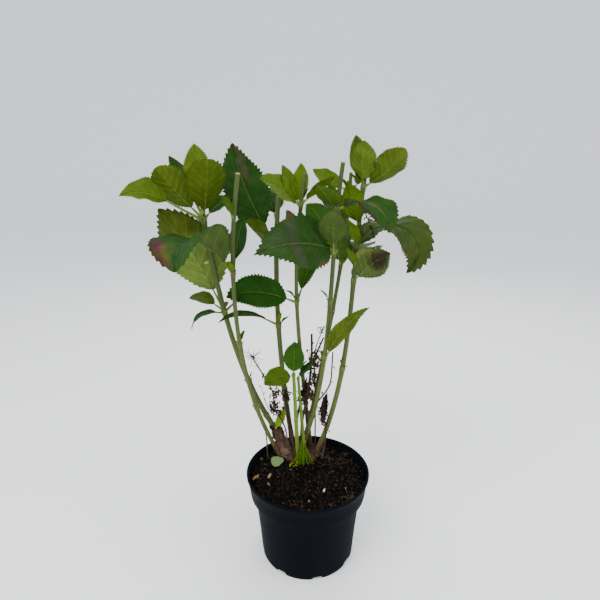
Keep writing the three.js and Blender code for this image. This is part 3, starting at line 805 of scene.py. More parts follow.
def blade(skin, foot, leaf, chance, cell=-1, steps=BLADE_STEPS, half=HALF_STEPS, crumple=0.0, tone=None):
    """A thin closed blade with sunken veins, a toothed margin and a slightly wavy edge."""
    looks = bpy.context.scene.hydrangea_leaf
    shares, places, along, side, face = midrib(foot, leaf, steps)
    # u runs along the blade, and v across it from -1 to 1, closer together near the midrib
    v = np.linspace(-1, 1, 2 * half + 1)
    v = (np.sign(v) * np.abs(v) ** MIDRIB_CROWDING)[None, :]
    u = shares[:, None]
    width = np.maximum(leaf.wide * half_width(shares, leaf.tip), NARROWEST)[:, None]
    x, ahead = margin(leaf, looks, u, v, width, chance)
    height = relief(leaf, looks, u, v, x, width, crumple, chance)
    fold = math.radians(leaf.fold)
    lift = np.abs(v) ** 1.15 * width * math.sin(fold)
    upper = places[:, None] + side[:, None] * (x * math.cos(fold))[..., None]
    upper = upper + face[:, None] * (height + lift)[..., None] + along[:, None] * ahead[..., None]
    # the underside shares the points of the margin
    rows, columns = upper.shape[:2]
    thick = looks.blade_thickness * PER_METRE
    lower = upper - face[:, None] * thick
    index = np.arange(rows * columns).reshape(rows, columns)
    inside = np.zeros((rows, columns), bool)
    inside[1:-1, 1:-1] = True
    below = index.copy()
    below[inside] = rows * columns + np.arange(inside.sum())
    top, bottom = quads(index, False), quads(below, True)
    rim = np.concatenate([index[:, 0], index[-1, 1:], index[::-1, -1][1:], index[0, ::-1][1:]])
    # the veins' map, the map for baking, and the colours
    spread = np.broadcast_to(v, (rows, columns))
    along_map = np.broadcast_to(u, (rows, columns))
    maps = np.stack([along_map, spread * 0.5 + 0.5], axis=-1)
    reach = max(leaf.long, leaf.wide * 1.08)
    plans = np.stack([along_map * leaf.long, x + reach / 2], axis=-1) / reach * 0.94 + 0.03
    if tone is None:
        above = blade_colours(leaf, along_map, spread, 0, chance)
        under = blade_colours(leaf, along_map, spread, 1, chance)
    else:
        above = under = np.broadcast_to(tone, upper.shape)
    skin.add(
        np.concatenate([upper.reshape(-1, 3), lower[inside]]),
        top + bottom,
        np.concatenate([above.reshape(-1, 3), under[inside]]),
        np.concatenate([maps.reshape(-1, 2), maps[inside]]),
        np.concatenate([plans.reshape(-1, 2), plans[inside]]),
        kind=np.repeat([0, 1 if tone is None else 0], [len(top), len(bottom)]),
        cell=np.repeat([cell, cell + 1], [len(top), len(bottom)]) if cell >= 0 else -1,
        sharp=list(zip(rim[:-1].tolist(), rim[1:].tolist())),
    )


def blade_colours(leaf, u, v, side, chance):
    """The colour over one side of a blade, with the marks that its kind has."""
    shade = 1 + chance.uniform(-0.11, 0.11)
    colours = np.ones(u.shape + (3,)) * linear(TINTS[leaf.tint][side]) * shade
    grain = np.sin(9 * u + 5 * v + chance.uniform(0, 6)) * np.sin(7 * v - 4 * u + chance.uniform(0, 6))
    colours = colours * (1 + 0.1 * grain[..., None])
    for along, across, long, wide, code, strength in MARKS.get(leaf.marks, ()):
        far = ((u - along) / long) ** 2 + ((v - across) / wide) ** 2
        ragged = far + 0.25 * np.sin(31 * u + 9 * v) * np.sin(17 * v - 8 * u)
        share = np.clip(1.35 - ragged, 0, 1)[..., None] * strength * (1 - 0.1 * side)
        colours = colours * (1 - share) + linear(code) * share
    return colours


def stalk(skin, foot, leaf, radii, colour):
    """A leaf's stalk, carried on under the blade as its midrib."""
    shares, places, _, _, face = midrib(foot, leaf, RIB_STEPS)
    foot = np.asarray(foot, float)
    count = max(4, int(leaf.stalk / 3))
    free = [foot + (places[0] - foot) * k / count for k in range(count)]
    under = places[:RIB_END] - face[:RIB_END] * (radii[1] * 0.5 * (1 - shares[:RIB_END, None]))
    line = np.concatenate([free, under])
    thick = np.concatenate([
        np.interp(np.arange(count), [0, 1, count], [radii[0] * 1.25, radii[0], radii[1]]),
        radii[1] * (1 - shares[:RIB_END]) ** 0.8 * 0.55 + 0.12,
    ])
    rib = between((colour, linear(TINTS[leaf.tint][1])), 0.6)
    colours = np.concatenate([np.tile(colour, (count, 1)), np.tile(rib, (len(under), 1))])
    tube(skin, line, thick, colours, sides=8)


# Materials


class Nodes:
    """Shorthand to wire up one material."""

    def __init__(self, name):
        self.material = bpy.data.materials.new(name)
        self.material.use_nodes = True
        self.tree = self.material.node_tree
        self.shader = self.tree.nodes["Principled BSDF"]

    def node(self, kind, **settings):
        """A new node with its settings."""
        node = self.tree.nodes.new(kind)
        for key, value in settings.items():
            setattr(node, key, value)
        return node

    def link(self, a, b):
        self.tree.links.new(a, b)

    def maths(self, operation, a, b=None):
        """The result of an arithmetic step on one or two numbers or sockets."""
        node = self.node("ShaderNodeMath", operation=operation)
        for i, value in enumerate((a, b)):
            if value is None:
                continue
            if isinstance(value, (int, float)):
                node.inputs[i].default_value = value
            else:
                self.link(value, node.inputs[i])
        return node.outputs[0]

    def band(self, value, low, high):
        """Zero below low and one above high, soft between."""
        node = self.node("ShaderNodeMapRange", interpolation_type="SMOOTHSTEP")
        self.link(value, node.inputs["Value"])
        node.inputs["From Min"].default_value = low
        node.inputs["From Max"].default_value = high
        return node.outputs["Result"]

    def mix(self, factor, a, b, blend="MIX"):
        """Two colours mixed, each a value or a socket."""
        node = self.node("ShaderNodeMix", data_type="RGBA", blend_type=blend)
        for socket, value in ((node.inputs["Factor"], factor), (node.inputs[6], a), (node.inputs[7], b)):
            if isinstance(value, (int, float)):
                socket.default_value = value
            elif isinstance(value, (tuple, list, np.ndarray)):
                socket.default_value = (*value[:3], 1)
            else:
                self.link(value, socket)
        return node.outputs[2]

    def place(self, scale=(1, 1, 1)):
        """The point on the piece, stretched along an axis where its scale is under one."""
        coordinates = self.node("ShaderNodeTexCoord")
        mapping = self.node("ShaderNodeMapping")
        mapping.inputs["Scale"].default_value = scale
        self.link(coordinates.outputs["Object"], mapping.inputs["Vector"])
        return mapping.outputs["Vector"]

    def noise(self, scale, detail=3, where=None, roughness=0.55):
        """A soft noise over the piece."""
        node = self.node("ShaderNodeTexNoise")
        node.inputs["Scale"].default_value = scale
        node.inputs["Detail"].default_value = detail
        node.inputs["Roughness"].default_value = roughness
        self.link(where or self.place(), node.inputs["Vector"])
        return node.outputs["Fac"]

    def tint(self):
        """The colour that the piece's own points carry."""
        return self.node("ShaderNodeAttribute", attribute_name="tint").outputs["Color"]

    def finish(self, colour, roughness, height, distance, strength, specular):
        """Wires colour, roughness and bump to the shader."""
        self.link(colour, self.shader.inputs["Base Color"])
        if isinstance(roughness, (int, float)):
            self.shader.inputs["Roughness"].default_value = roughness
        else:
            self.link(roughness, self.shader.inputs["Roughness"])
        self.shader.inputs["Specular IOR Level"].default_value = specular
        node = self.node("ShaderNodeBump")
        node.inputs["Strength"].default_value = strength
        node.inputs["Distance"].default_value = distance
        self.link(height, node.inputs["Height"])
        self.link(node.outputs["Normal"], self.shader.inputs["Normal"])
        return self.material


def leaf_material(name, underside):
    """Leaf skin: veins that follow the blade's own map, a fine net between them and a soft mottle."""
    n = Nodes(name)
    where = n.node("ShaderNodeUVMap", uv_map="leaf_map").outputs["UV"]
    parts = n.node("ShaderNodeSeparateXYZ")
    n.link(where, parts.inputs["Vector"])
    u, v = parts.outputs["X"], parts.outputs["Y"]
    across = n.maths("ABSOLUTE", n.maths("SUBTRACT", n.maths("MULTIPLY", v, 2.0), 1.0))
    slope = n.maths("MULTIPLY", n.maths("POWER", across, 0.9), VEIN_SLOPE)
    phase = n.maths("MULTIPLY", n.maths("SUBTRACT", u, slope), float(VEIN_PAIRS))
    off_middle = n.maths("ABSOLUTE", n.maths("SUBTRACT", n.maths("FRACT", phase), 0.5))
    near = n.maths("MULTIPLY", off_middle, 2.0)
    side_vein = n.band(near, 0.78, 0.98)
    rib = n.maths("SUBTRACT", 1.0, n.band(across, 0.015, 0.07))
    veins = n.maths("MAXIMUM", side_vein, rib)
    net = n.node("ShaderNodeTexVoronoi", feature="DISTANCE_TO_EDGE")
    net.inputs["Scale"].default_value = 420
    n.link(n.place(), net.inputs["Vector"])
    mesh = n.maths("SUBTRACT", 1.0, n.band(net.outputs["Distance"], 0.0, 0.12))
    mottle = n.noise(60, 4)
    colour = n.tint()
    if underside:
        colour = n.mix(n.maths("MULTIPLY", veins, 0.7), colour, (1.6, 1.42, 1.7), "MULTIPLY")
        colour = n.mix(n.maths("MULTIPLY", mesh, 0.4), colour, (1.35, 1.25, 1.4), "MULTIPLY")
        height = n.maths("ADD", veins, n.maths("MULTIPLY", mesh, 0.35))
        roughness = 0.72
    else:
        colour = n.mix(n.maths("MULTIPLY", veins, 0.55), colour, (1.6, 1.42, 1.5), "MULTIPLY")
        # painted shade: the net's sunken lines are darkened on the upper side
        colour = n.mix(n.maths("MULTIPLY", mesh, 0.35), colour, (0.66, 0.74, 0.6), "MULTIPLY")
        height = n.maths("SUBTRACT", 1.0, n.maths("ADD", veins, n.maths("MULTIPLY", mesh, 0.5)))
        roughness = n.maths("ADD", 0.5, n.maths("MULTIPLY", mottle, 0.2))
    blotches = n.noise(28, 3)
    colour = n.mix(n.band(mottle, 0.35, 0.75), colour, (0.78, 0.84, 0.7), "MULTIPLY")
    colour = n.mix(n.band(blotches, 0.35, 0.7), colour, (1.16, 1.04, 0.86), "MULTIPLY")
    return n.finish(colour, roughness, height, distance=0.0004, strength=0.5, specular=0.09)


def stem_material(name, spots, rough=0.6):
    """Green to woody bark in the stem's own colours, with fine streaks and small brown spots."""
    n = Nodes(name)
    streaks = n.noise(500, 3, n.place((1, 1, 0.12)))
    colour = n.mix(n.band(streaks, 0.3, 0.7), n.mix(0.45, n.tint(), colour_of("stem streak")), n.tint())
    dots = n.band(n.noise(420, 2, n.place((1, 1, 0.5))), 0.66, 0.72)
    colour = n.mix(n.maths("MULTIPLY", dots, spots), colour, colour_of("stem spot"))
    height = n.maths("ADD", streaks, n.maths("MULTIPLY", dots, 0.8))
    return n.finish(colour, rough, height, distance=0.0003, strength=0.5, specular=0.16)


def woody_material(name, worn="8a6a48"):
    """Dead or old wood: fibres, cracks and dark hollows."""
    n = Nodes(name)
    fibres = n.noise(260, 6, n.place((1, 1, 0.2)), 0.7)
    lumps = n.noise(90, 5)
    colour = n.mix(n.band(fibres, 0.35, 0.65), n.mix(0.55, n.tint(), colour_of("wood crack")), n.tint())
    colour = n.mix(n.band(lumps, 0.55, 0.75), colour, n.mix(0.4, colour, linear(worn)))
    return n.finish(colour, 0.9, n.maths("ADD", fibres, lumps), distance=0.0012, strength=0.8, specular=0.1)


def pot_material(colour_values):
    """Dark moulded plastic with dust, dried splashes and fine scuffs."""
    n = Nodes("pot_plastic")
    dust = n.noise(9, 6, n.place((1, 1, 0.6)), 0.65)
    fine = n.noise(900, 2)
    scuffs = n.noise(55, 5, n.place((1, 1, 5)), 0.7)
    colour = n.mix(n.maths("MULTIPLY", n.band(dust, 0.45, 0.75), 0.3), colour_values, colour_of("pot dust"))
    colour = n.mix(n.maths("MULTIPLY", n.band(scuffs, 0.68, 0.76), 0.22), colour, colour_of("pot scuff"))
    colour = n.mix(n.maths("MULTIPLY", fine, 0.012), colour, colour_of("pot grain"))
    roughness = n.maths("ADD", 0.45, n.maths("MULTIPLY", dust, 0.25))
    height = n.maths("ADD", fine, scuffs)
    return n.finish(colour, roughness, height, distance=0.0002, strength=0.35, specular=0.022)


def soil_material(name):
    """Damp peat, or the chips in it, with a change of colour from crumb to crumb."""
    base, pale = (linear(code) for code in SOIL_TINTS[name])
    n = Nodes(name)
    grain = n.noise(700, 4)
    patch = n.noise(130, 3)
    colour = n.mix(n.band(grain, 0.4, 0.72), base, pale)
    colour = n.mix(n.band(patch, 0.6, 0.8), colour, n.mix(0.35, colour, colour_of("soil patch")))
    return n.finish(colour, 0.85, n.maths("ADD", grain, patch), distance=0.001, strength=0.9, specular=0.06)


materials = {}


def material(name):
    """One of this plant's materials, made the first time that it is wanted."""
    makers = {
        "leaf_upper": lambda: leaf_material("leaf_upper", False),
        "leaf_under": lambda: leaf_material("leaf_under", True),
        "cane_bark": lambda: stem_material("cane_bark", 0.7),
        "stalk_skin": lambda: stem_material("stalk_skin", 0.15, 0.5),
        "old_wood": lambda: woody_material("old_wood"),
        "dry_twig": lambda: woody_material("dry_twig", "6a5040"),
        "chip_skin": lambda: stem_material("chip_skin", 0.3, 0.85),
        "pot_plastic": lambda: pot_material(tuple(bpy.context.scene.hydrangea_pot.plastic)),
    }
    if name not in materials:
        materials[name] = makers[name]() if name in makers else soil_material(name)
    return materials[name]


# Settings


class PotSettings(bpy.types.PropertyGroup):
    plastic: FloatVectorProperty(
        name="Plastic",
        description="Colour of the pot",
        subtype="COLOR",
        size=3,
        default=(0.0016, 0.0024, 0.0042),
    )
    sides: IntProperty(name="Sides", description="Steps round the pot", default=160, min=32, max=256)
    lip: FloatProperty(name="Lip", description="Height of the rolled lip", unit="LENGTH", default=0.004)


class LeafSettings(bpy.types.PropertyGroup):
    relief: FloatProperty(
        name="Relief", description="How far a blade swells between its veins", unit="LENGTH", default=0.0011
    )
    wave: FloatProperty(
        name="Wave", description="Sway of the margin, as a share of the width", default=0.07
    )
    tooth_depth: FloatProperty(
        name="Teeth", description="Depth of the margin's teeth", unit="LENGTH", default=0.0028
    )
    crinkle: FloatProperty(
        name="Crinkle", description="Height of a blade's uneven swells", unit="LENGTH", default=0.0015
    )
    blade_thickness: FloatProperty(
        name="Thickness", description="Thickness of a blade", unit="LENGTH", default=0.0005
    )


class CaneSettings(bpy.types.PropertyGroup):
    young: FloatVectorProperty(
        name="Young bark",
        description="Colour of a cane's top",
        subtype="COLOR",
        size=3,
        default=(0.062, 0.09, 0.022),
    )
    old: FloatVectorProperty(
        name="Old bark",
        description="Colour of a cane's foot",
        subtype="COLOR",
        size=3,
        default=(0.1, 0.12, 0.028),
    )
    swelling: FloatProperty(
        name="Swelling", description="How far a node stands out, as a share", default=0.22
    )


class SoilSettings(bpy.types.PropertyGroup):
    crumbs: IntProperty(name="Crumbs", description="Crumbs on each square metre", default=110000, min=0)
    chips: IntProperty(name="Chips", description="Bark chips on each square metre", default=26000, min=0)
    crumb_size: FloatProperty(name="Crumb size", description="Largest crumb", unit="LENGTH", default=0.0036)
    chip_size: FloatProperty(
        name="Chip size", description="Longest bark chip", unit="LENGTH", default=0.0138
    )


class StageSettings(bpy.types.PropertyGroup):
    floor: FloatVectorProperty(
        name="Floor",
        description="Colour of the floor",
        subtype="COLOR",
        size=3,
        default=(0.9, 0.905, 0.91),
    )
    key_power: FloatProperty(name="Key light", description="Strength of the main light", default=42)


# Pot and soil


def pot_profile(lip):
    """Radius and height round the pot's section, from the base's centre out, up and back inside."""
    collar_foot = POT_HEIGHT - COLLAR_HEIGHT
    rim_foot = POT_HEIGHT - lip
    return (
        # the underside and its rounded edge
        (0.01, 0),
        (BASE_RADIUS - 12, 0),
        (BASE_RADIUS - 3, 0),
        (BASE_RADIUS - 0.8, 0.7),
        (BASE_RADIUS, 2.2),
        # the flank, which bows out slightly
        (BASE_RADIUS + 0.5, 8),
        (BASE_RADIUS + 3.5, 44),
        (BODY_TOP_RADIUS - 2.6, 78),
        (BODY_TOP_RADIUS - 0.4, collar_foot - 5),
        # the step out to the collar
        (BODY_TOP_RADIUS + 0.6, collar_foot - 2),
        (BODY_TOP_RADIUS + 3.6, collar_foot - 0.4),
        (COLLAR_FOOT_RADIUS - 1.4, collar_foot),
        (COLLAR_FOOT_RADIUS - 0.3, collar_foot + 0.9),
        (COLLAR_FOOT_RADIUS, collar_foot + 2.4),
        (COLLAR_FOOT_RADIUS + 2.1, POT_HEIGHT - 17),
        # the rolled lip
        (RIM_RADIUS - 1.9, rim_foot - 1.4),
        (RIM_RADIUS - 0.5, rim_foot),
        (RIM_RADIUS, rim_foot + 1),
        (RIM_RADIUS, POT_HEIGHT - 0.8),
        (RIM_RADIUS - 0.8, POT_HEIGHT),
        (RIM_RADIUS - 2.2, POT_HEIGHT - 0.1),
        (RIM_RADIUS - 3.4, POT_HEIGHT - 1),
        # down the inside to the floor
        (COLLAR_FOOT_RADIUS - POT_WALL, collar_foot + 2.4),
        (BODY_TOP_RADIUS - POT_WALL, collar_foot - 1),
        (BASE_RADIUS - POT_WALL, POT_FLOOR),
        (0.01, POT_FLOOR),
    )


def build_pot(settings):
    """Turns the pot's section, and lifts its lower edge at the notches between the feet."""
    skin = Skin()
    profile = np.array(pot_profile(settings.lip * PER_METRE), float)
    sides = settings.sides
    turns = np.linspace(0, 2 * np.pi, sides, endpoint=False)
    radius = profile[:, 0][:, None] * np.ones(sides)
    height = profile[:, 1][:, None] * np.ones(sides)
    spread = np.cos(FOOT_NOTCHES * (turns - math.pi / 16))
    notch = np.clip((spread - 0.55) / 0.25, 0, 1)
    lower_edge = np.zeros((len(profile), 1))
    lower_edge[2:5] = 1
    height = height + lower_edge * notch * NOTCH_RISE
    # moulded plastic is never quite round towards its rim
    radius = radius * (1 + 0.0015 * np.sin(3 * turns + 1) * (profile[:, 1][:, None] / POT_HEIGHT))
    points = np.stack([radius * np.cos(turns), radius * np.sin(turns), height], axis=-1).reshape(-1, 3)
    faces = bands(len(profile), sides, flip=True)
    last = (len(profile) - 1) * sides
    faces.append(tuple(range(sides))[::-1])
    faces.append(tuple(last + j for j in range(sides)))
    skin.add(points, faces, (1, 1, 1))
    skin.piece("pot_shell", ["pot_plastic"], "pot_plastic", ["pot"])


def soil_height(x, y):
    """Height of the soil's surface: it slopes up to the plant's foot, with small hollows."""
    spots = np.stack([x, y, 0 * x], axis=-1)
    across, ahead = (x - CROWN_CENTRE[0]) / MOUND_REACH[0], (y - CROWN_CENTRE[1] + 6) / MOUND_REACH[1]
    near = np.exp(-(across**2 + ahead**2))
    hollows = 2.2 * ripple(spots, 24.0)
    return SOIL_TOP - 1.5 + MOUND_RISE * near + hollows + 1.4 * ripple(spots, 8.0, 2.0)


def crumb_tree(name, density, size, stretch, seed, finish):
    """A tree that scatters rough crumbs over a surface, with the values of its inputs and its finish."""
    tree = bpy.data.node_groups.new(name, "GeometryNodeTree")
    tree.interface.new_socket("Surface", in_out="INPUT", socket_type="NodeSocketGeometry")
    for label, kind in (("Density", "Float"), ("Size", "Float"), ("Seed", "Int")):
        tree.interface.new_socket(label, in_out="INPUT", socket_type=f"NodeSocket{kind}")
    tree.interface.new_socket("Crumbs", in_out="OUTPUT", socket_type="NodeSocketGeometry")
    new, link = tree.nodes.new, tree.links.new
    inputs, outputs = new("NodeGroupInput"), new("NodeGroupOutput")
    scatter = new("GeometryNodeDistributePointsOnFaces")
    link(inputs.outputs["Surface"], scatter.inputs["Mesh"])
    link(inputs.outputs["Density"], scatter.inputs["Density"])
    link(inputs.outputs["Seed"], scatter.inputs["Seed"])
    crumb = new("GeometryNodeMeshIcoSphere")
    crumb.inputs["Radius"].default_value = 0.5
    crumb.inputs["Subdivisions"].default_value = 1
    shape = new("GeometryNodeTransform")
    shape.inputs["Scale"].default_value = stretch
    link(crumb.outputs["Mesh"], shape.inputs["Geometry"])
    place = new("GeometryNodeInstanceOnPoints")
    link(scatter.outputs["Points"], place.inputs["Points"])
    link(shape.outputs["Geometry"], place.inputs["Instance"])
    turn = new("FunctionNodeRandomValue")
    turn.data_type = "FLOAT_VECTOR"
    turn.inputs[1].default_value = (WHOLE_TURN, WHOLE_TURN, WHOLE_TURN)
    link(inputs.outputs["Seed"], turn.inputs["Seed"])
    link(turn.outputs[0], place.inputs["Rotation"])
    spread = new("FunctionNodeRandomValue")
    spread.data_type = "FLOAT"
    spread.inputs[2].default_value = SMALLEST_CRUMB
    spread.inputs[3].default_value = 1.0
    link(inputs.outputs["Seed"], spread.inputs["Seed"])
    scale = new("ShaderNodeMath")
    scale.operation = "MULTIPLY"
    link(spread.outputs[1], scale.inputs[0])
    link(inputs.outputs["Size"], scale.inputs[1])
    link(scale.outputs[0], place.inputs["Scale"])
    real = new("GeometryNodeRealizeInstances")
    link(place.outputs["Instances"], real.inputs["Geometry"])
    # each corner is pushed a little its own way, so that no two crumbs are alike
    offset = new("GeometryNodeSetPosition")
    rough = new("ShaderNodeTexNoise")
    rough.inputs["Scale"].default_value = CRUMB_GRAIN
    link(real.outputs["Geometry"], offset.inputs["Geometry"])
    middle = new("ShaderNodeVectorMath")
    middle.operation = "SUBTRACT"
    middle.inputs[1].default_value = (0.5, 0.5, 0.5)
    link(rough.outputs["Color"], middle.inputs[0])
    push = new("ShaderNodeVectorMath")
    push.operation = "SCALE"
    link(middle.outputs[0], push.inputs[0])
    link(inputs.outputs["Size"], push.inputs["Scale"])
    link(push.outputs[0], offset.inputs["Offset"])
    paint = new("GeometryNodeSetMaterial")
    paint.inputs["Material"].default_value = finish
    link(offset.outputs["Geometry"], paint.inputs["Geometry"])
    link(paint.outputs["Geometry"], outputs.inputs["Crumbs"])
    return tree, {"Density": float(density), "Size": float(size), "Seed": seed}, finish


def scattered(name, surface, recipe):
    """The mesh that a scatter tree makes over a surface, as an object of its own."""
    tree, values, finish = recipe
    modifier = surface.modifiers.new(name, "NODES")
    modifier.node_group = tree
    for item in tree.interface.items_tree:
        if item.in_out == "INPUT" and item.name in values:
            modifier[item.identifier] = values[item.name]
    graph = bpy.context.evaluated_depsgraph_get()
    mesh = bpy.data.meshes.new_from_object(surface.evaluated_get(graph))
    surface.modifiers.remove(modifier)
    mesh.materials.clear()
    mesh.materials.append(finish)
    return added(name, mesh)


def build_soil(settings):
    """The soil's surface and body, with crumbs, bark chips, flecks and pale chips scattered over it."""
    skin = Skin()
    rings = np.concatenate([[0.5], np.linspace(4, 86, SOIL_RINGS), [SOIL_RADIUS]])
    sides = SOIL_SIDES
    turns = np.linspace(0, 2 * np.pi, sides, endpoint=False)
    x = rings[:, None] * np.cos(turns)
    y = rings[:, None] * np.sin(turns)
    z = soil_height(x.ravel(), y.ravel()).reshape(x.shape)
    z[-1] -= 1.5
    surface = np.stack([x, y, z], axis=-1).reshape(-1, 3)
    skirt = np.stack([0.97 * x[-1], 0.97 * y[-1], 0 * x[-1] + SOIL_TOP - 12], axis=-1)
    points = np.concatenate([surface, skirt])
    faces = bands(len(rings) + 1, sides)
    faces.append(tuple(range(sides)))
    faces.append(tuple(len(rings) * sides + j for j in range(sides))[::-1])
    skin.add(points, faces, (1, 1, 1))
    bed = skin.piece("soil_bed", ["peat"], "soil", ["soil"])
    count, size = settings.chips, settings.chip_size
    peat, bark = material("peat"), material("bark_chip")
    crumbs = crumb_tree("Crumbs", settings.crumbs, settings.crumb_size, (1, 1, 0.8), 3, peat)
    chips = crumb_tree("Chips", count, size, (1, 0.4, 0.2), 5, bark)
    pale = crumb_tree("Pale chips", count / 60, size * 0.6, (1, 0.6, 0.3), 11, material("pale_chip"))
    flecks = crumb_tree("Flecks", count / 3, size * 0.5, (1, 0.4, 0.25), 17, material("fleck"))
    recipes = {"soil_crumbs": crumbs, "soil_chips": chips, "soil_flecks": flecks, "soil_pale_chips": pale}
    for name, recipe in recipes.items():
        dress(top_only(scattered(name, bed, recipe)))
    chance = random.Random(3)
    fallen_leaf(chance)
    light_chips(chance)
    dead_roots(chance)
    soil_moss(chance)


def ground(x, y, lift=0.0):
    """A point on the soil, or a little above it."""
    return np.array([x, y, float(soil_height(np.array([x]), np.array([y]))[0]) + lift])


def fallen_leaf(chance):
    """One small faded leaf on the soil."""
    skin = Skin()
    leaf = Leaf(0, 75, 40, 0.5, 20, 21, "pale", droop=40, fold=-6, tip=0.5)
    blade(skin, ground(*FALLEN_PLACE, 2.5), leaf, chance, cell=0, steps=40, half=5, crumple=0.9)
    skin.piece("fallen_leaf", BLADE_SKINS, "foliage")


def light_chips(chance):
    """Single light chips on the soil."""
    skin = Skin()
    for x, y, long, tone in LIGHT_CHIPS:
        lean = (chance.uniform(-1, 1), 0.6, 0.25)
        bump(skin, ground(x, y, 1.2), (long * 0.3, long * 0.55), lean, linear(tone))
    skin.piece("soil_light_bits", ["chip_skin"], "soil")


def dead_roots(chance):
    """Wavy dead roots behind the plant and short fibres all over the soil."""
    skin = Skin()
    for _ in range(26):
        x, y = chance.uniform(14, 74), chance.uniform(6, 76)
        if math.hypot(x, y) > 84:
            continue
        turn = chance.uniform(0, math.pi)
        steps = []
        for gone in (0, 7, 14, 21):
            sway = 2 * math.sin(gone / 5 + x)
            lift = 1.6 + chance.uniform(0, 3)
            steps.append(ground(x + math.cos(turn) * gone, y + math.sin(turn) * gone + sway, lift))
        brown = colour_of("dead root") * chance.uniform(0.3, 1.5)
        thread(skin, steps, 14, (0.7, 0.3), brown)
    for _ in range(44):
        turn, out = chance.uniform(0, 2 * math.pi), 80 * math.sqrt(chance.random())
        start = ground(out * math.cos(turn), out * math.sin(turn), 1.8)
        way = chance.uniform(0, 2 * math.pi)
        step = np.array([math.cos(way), math.sin(way), chance.uniform(-0.1, 0.1)])
        far = start + step * chance.uniform(6, 17)
        bend = (start + far) / 2 + (chance.uniform(-1.5, 1.5), chance.uniform(-1.5, 1.5), 0.6)
        brown = colour_of("soil fibre") * chance.uniform(0.15, 1.2)
        thread(skin, [start, bend, far], 8, (0.55, 0.35), brown)
    skin.piece("dead_roots", ["dry_twig"], "dry_twigs")


def soil_moss(chance):
    """A little moss near the rim."""
    skin = Skin()
    for _ in range(60):
        x, y = (chance.gauss(MOSS_CENTRE[k], MOSS_SPREAD[k]) for k in (0, 1))
        if math.hypot(x, y) < 85:
            lean = (chance.uniform(-1, 1), 0.2, 1)
            green = colour_of("moss") * chance.uniform(0.4, 1.2)
            bump(skin, ground(x, y, 0.8), (0.9, 1.1), lean, green)
    skin.piece("soil_moss", ["chip_skin"], "soil")


def top_only(ob):
    """Drops the crumbs that lie on the soil's hidden side and underside."""
    mesh = ob.data
    places = np.zeros(len(mesh.vertices) * 3, np.float32)
    mesh.vertices.foreach_get("co", places)
    places = places.reshape(-1, 3) / MM
    middles = places.reshape(-1, CRUMB_CORNERS, 3).mean(axis=1)
    keep = (middles[:, 2] > SOIL_TOP - CRUMB_DEPTH) & (np.hypot(middles[:, 0], middles[:, 1]) < CRUMB_LIMIT)
    faces = np.zeros(len(mesh.loops), np.int32)
    mesh.loops.foreach_get("vertex_index", faces)
    faces = faces.reshape(-1, 3)
    kept = keep[faces[:, 0] // CRUMB_CORNERS]
    corners = np.repeat(keep, CRUMB_CORNERS)
    renumber = np.cumsum(corners) - 1
    fresh = bpy.data.meshes.new(ob.name)
    fresh.from_pydata((places[corners] * MM).tolist(), [], renumber[faces[kept]].tolist())
    fresh.materials.append(mesh.materials[0])
    ob.data = fresh
    return ob


# Wood


def lump(skin, centre, size, colour, seed, rough=0.16, rings=28, sides=40):
    """A rough woody lump."""
    up = np.linspace(0, np.pi, rings)[1:-1]
    turns = np.linspace(0, 2 * np.pi, sides, endpoint=False)
    flat, steep = np.sin(up)[:, None], np.cos(up)[:, None]
    ball = np.stack([flat * np.cos(turns), flat * np.sin(turns), steep * np.ones(sides)], axis=-1)
    ball = np.concatenate([ball.reshape(-1, 3), [[0, 0, 1], [0, 0, -1]]])
    spots = ball * size
    swell = 1 + rough * ripple(spots, 13.0, seed) + rough * 0.5 * ripple(spots, 5.0, seed + 1)
    points = np.asarray(centre) + spots * swell[:, None]
    rows = len(up)
    faces = []
    for j in range(sides):
        k = (j + 1) % sides
        faces.append((j, k, rows * sides))
        faces.append(((rows - 1) * sides + k, (rows - 1) * sides + j, rows * sides + 1))
        for i in range(rows - 1):
            faces.append((i * sides + j, (i + 1) * sides + j, (i + 1) * sides + k, i * sides + k))
    skin.add(points, faces, colour)


def root_crown(chance):
    """The root crown, with the canes' feet growing out of it and short spurs."""
    skin = Skin()
    brown, dark, tan = colour_of("crown"), colour_of("cane spur foot"), colour_of("cane spur top")
    lump(skin, (*CROWN_CENTRE, SOIL_TOP - 2), np.array(CROWN_SIZE) * 0.97, brown, 1.0)
    for cane in CANES[1:]:
        line = bezier(cane, np.linspace(-0.06, 0.1, 14))
        radii = cane.widths[0] / 2 * np.linspace(1.7, 0.86, 14)
        tube(skin, line, radii, np.linspace(dark, tan, 14), sides=14, ridges=0.12, seed=cane.foot[0])
    for _ in range(60):
        turn = chance.uniform(0, 2 * math.pi)
        out = chance.uniform(0.35, 1.0)
        x = CROWN_CENTRE[0] + CROWN_SIZE[0] * out * math.cos(turn)
        y = CROWN_CENTRE[1] + CROWN_SIZE[1] * out * math.sin(turn)
        z = SOIL_TOP + CROWN_SIZE[2] * math.sqrt(max(0, 1 - out * out)) - 1
        far = np.array([math.cos(turn) * 9, math.sin(turn) * 9, chance.uniform(-7, 3)])
        start = np.array([x, y, z])
        middle = start + far * 0.5 + (chance.uniform(-2, 2), chance.uniform(-2, 2), chance.uniform(0, 3))
        shade = brown * chance.uniform(0.6, 1.5)
        thread(skin, [start, middle, start + far], 8, (0.9, 0.25), shade, sides=6)
    skin.piece("root_crown_bark", ["old_wood"], "old_wood", ["root_crown"])


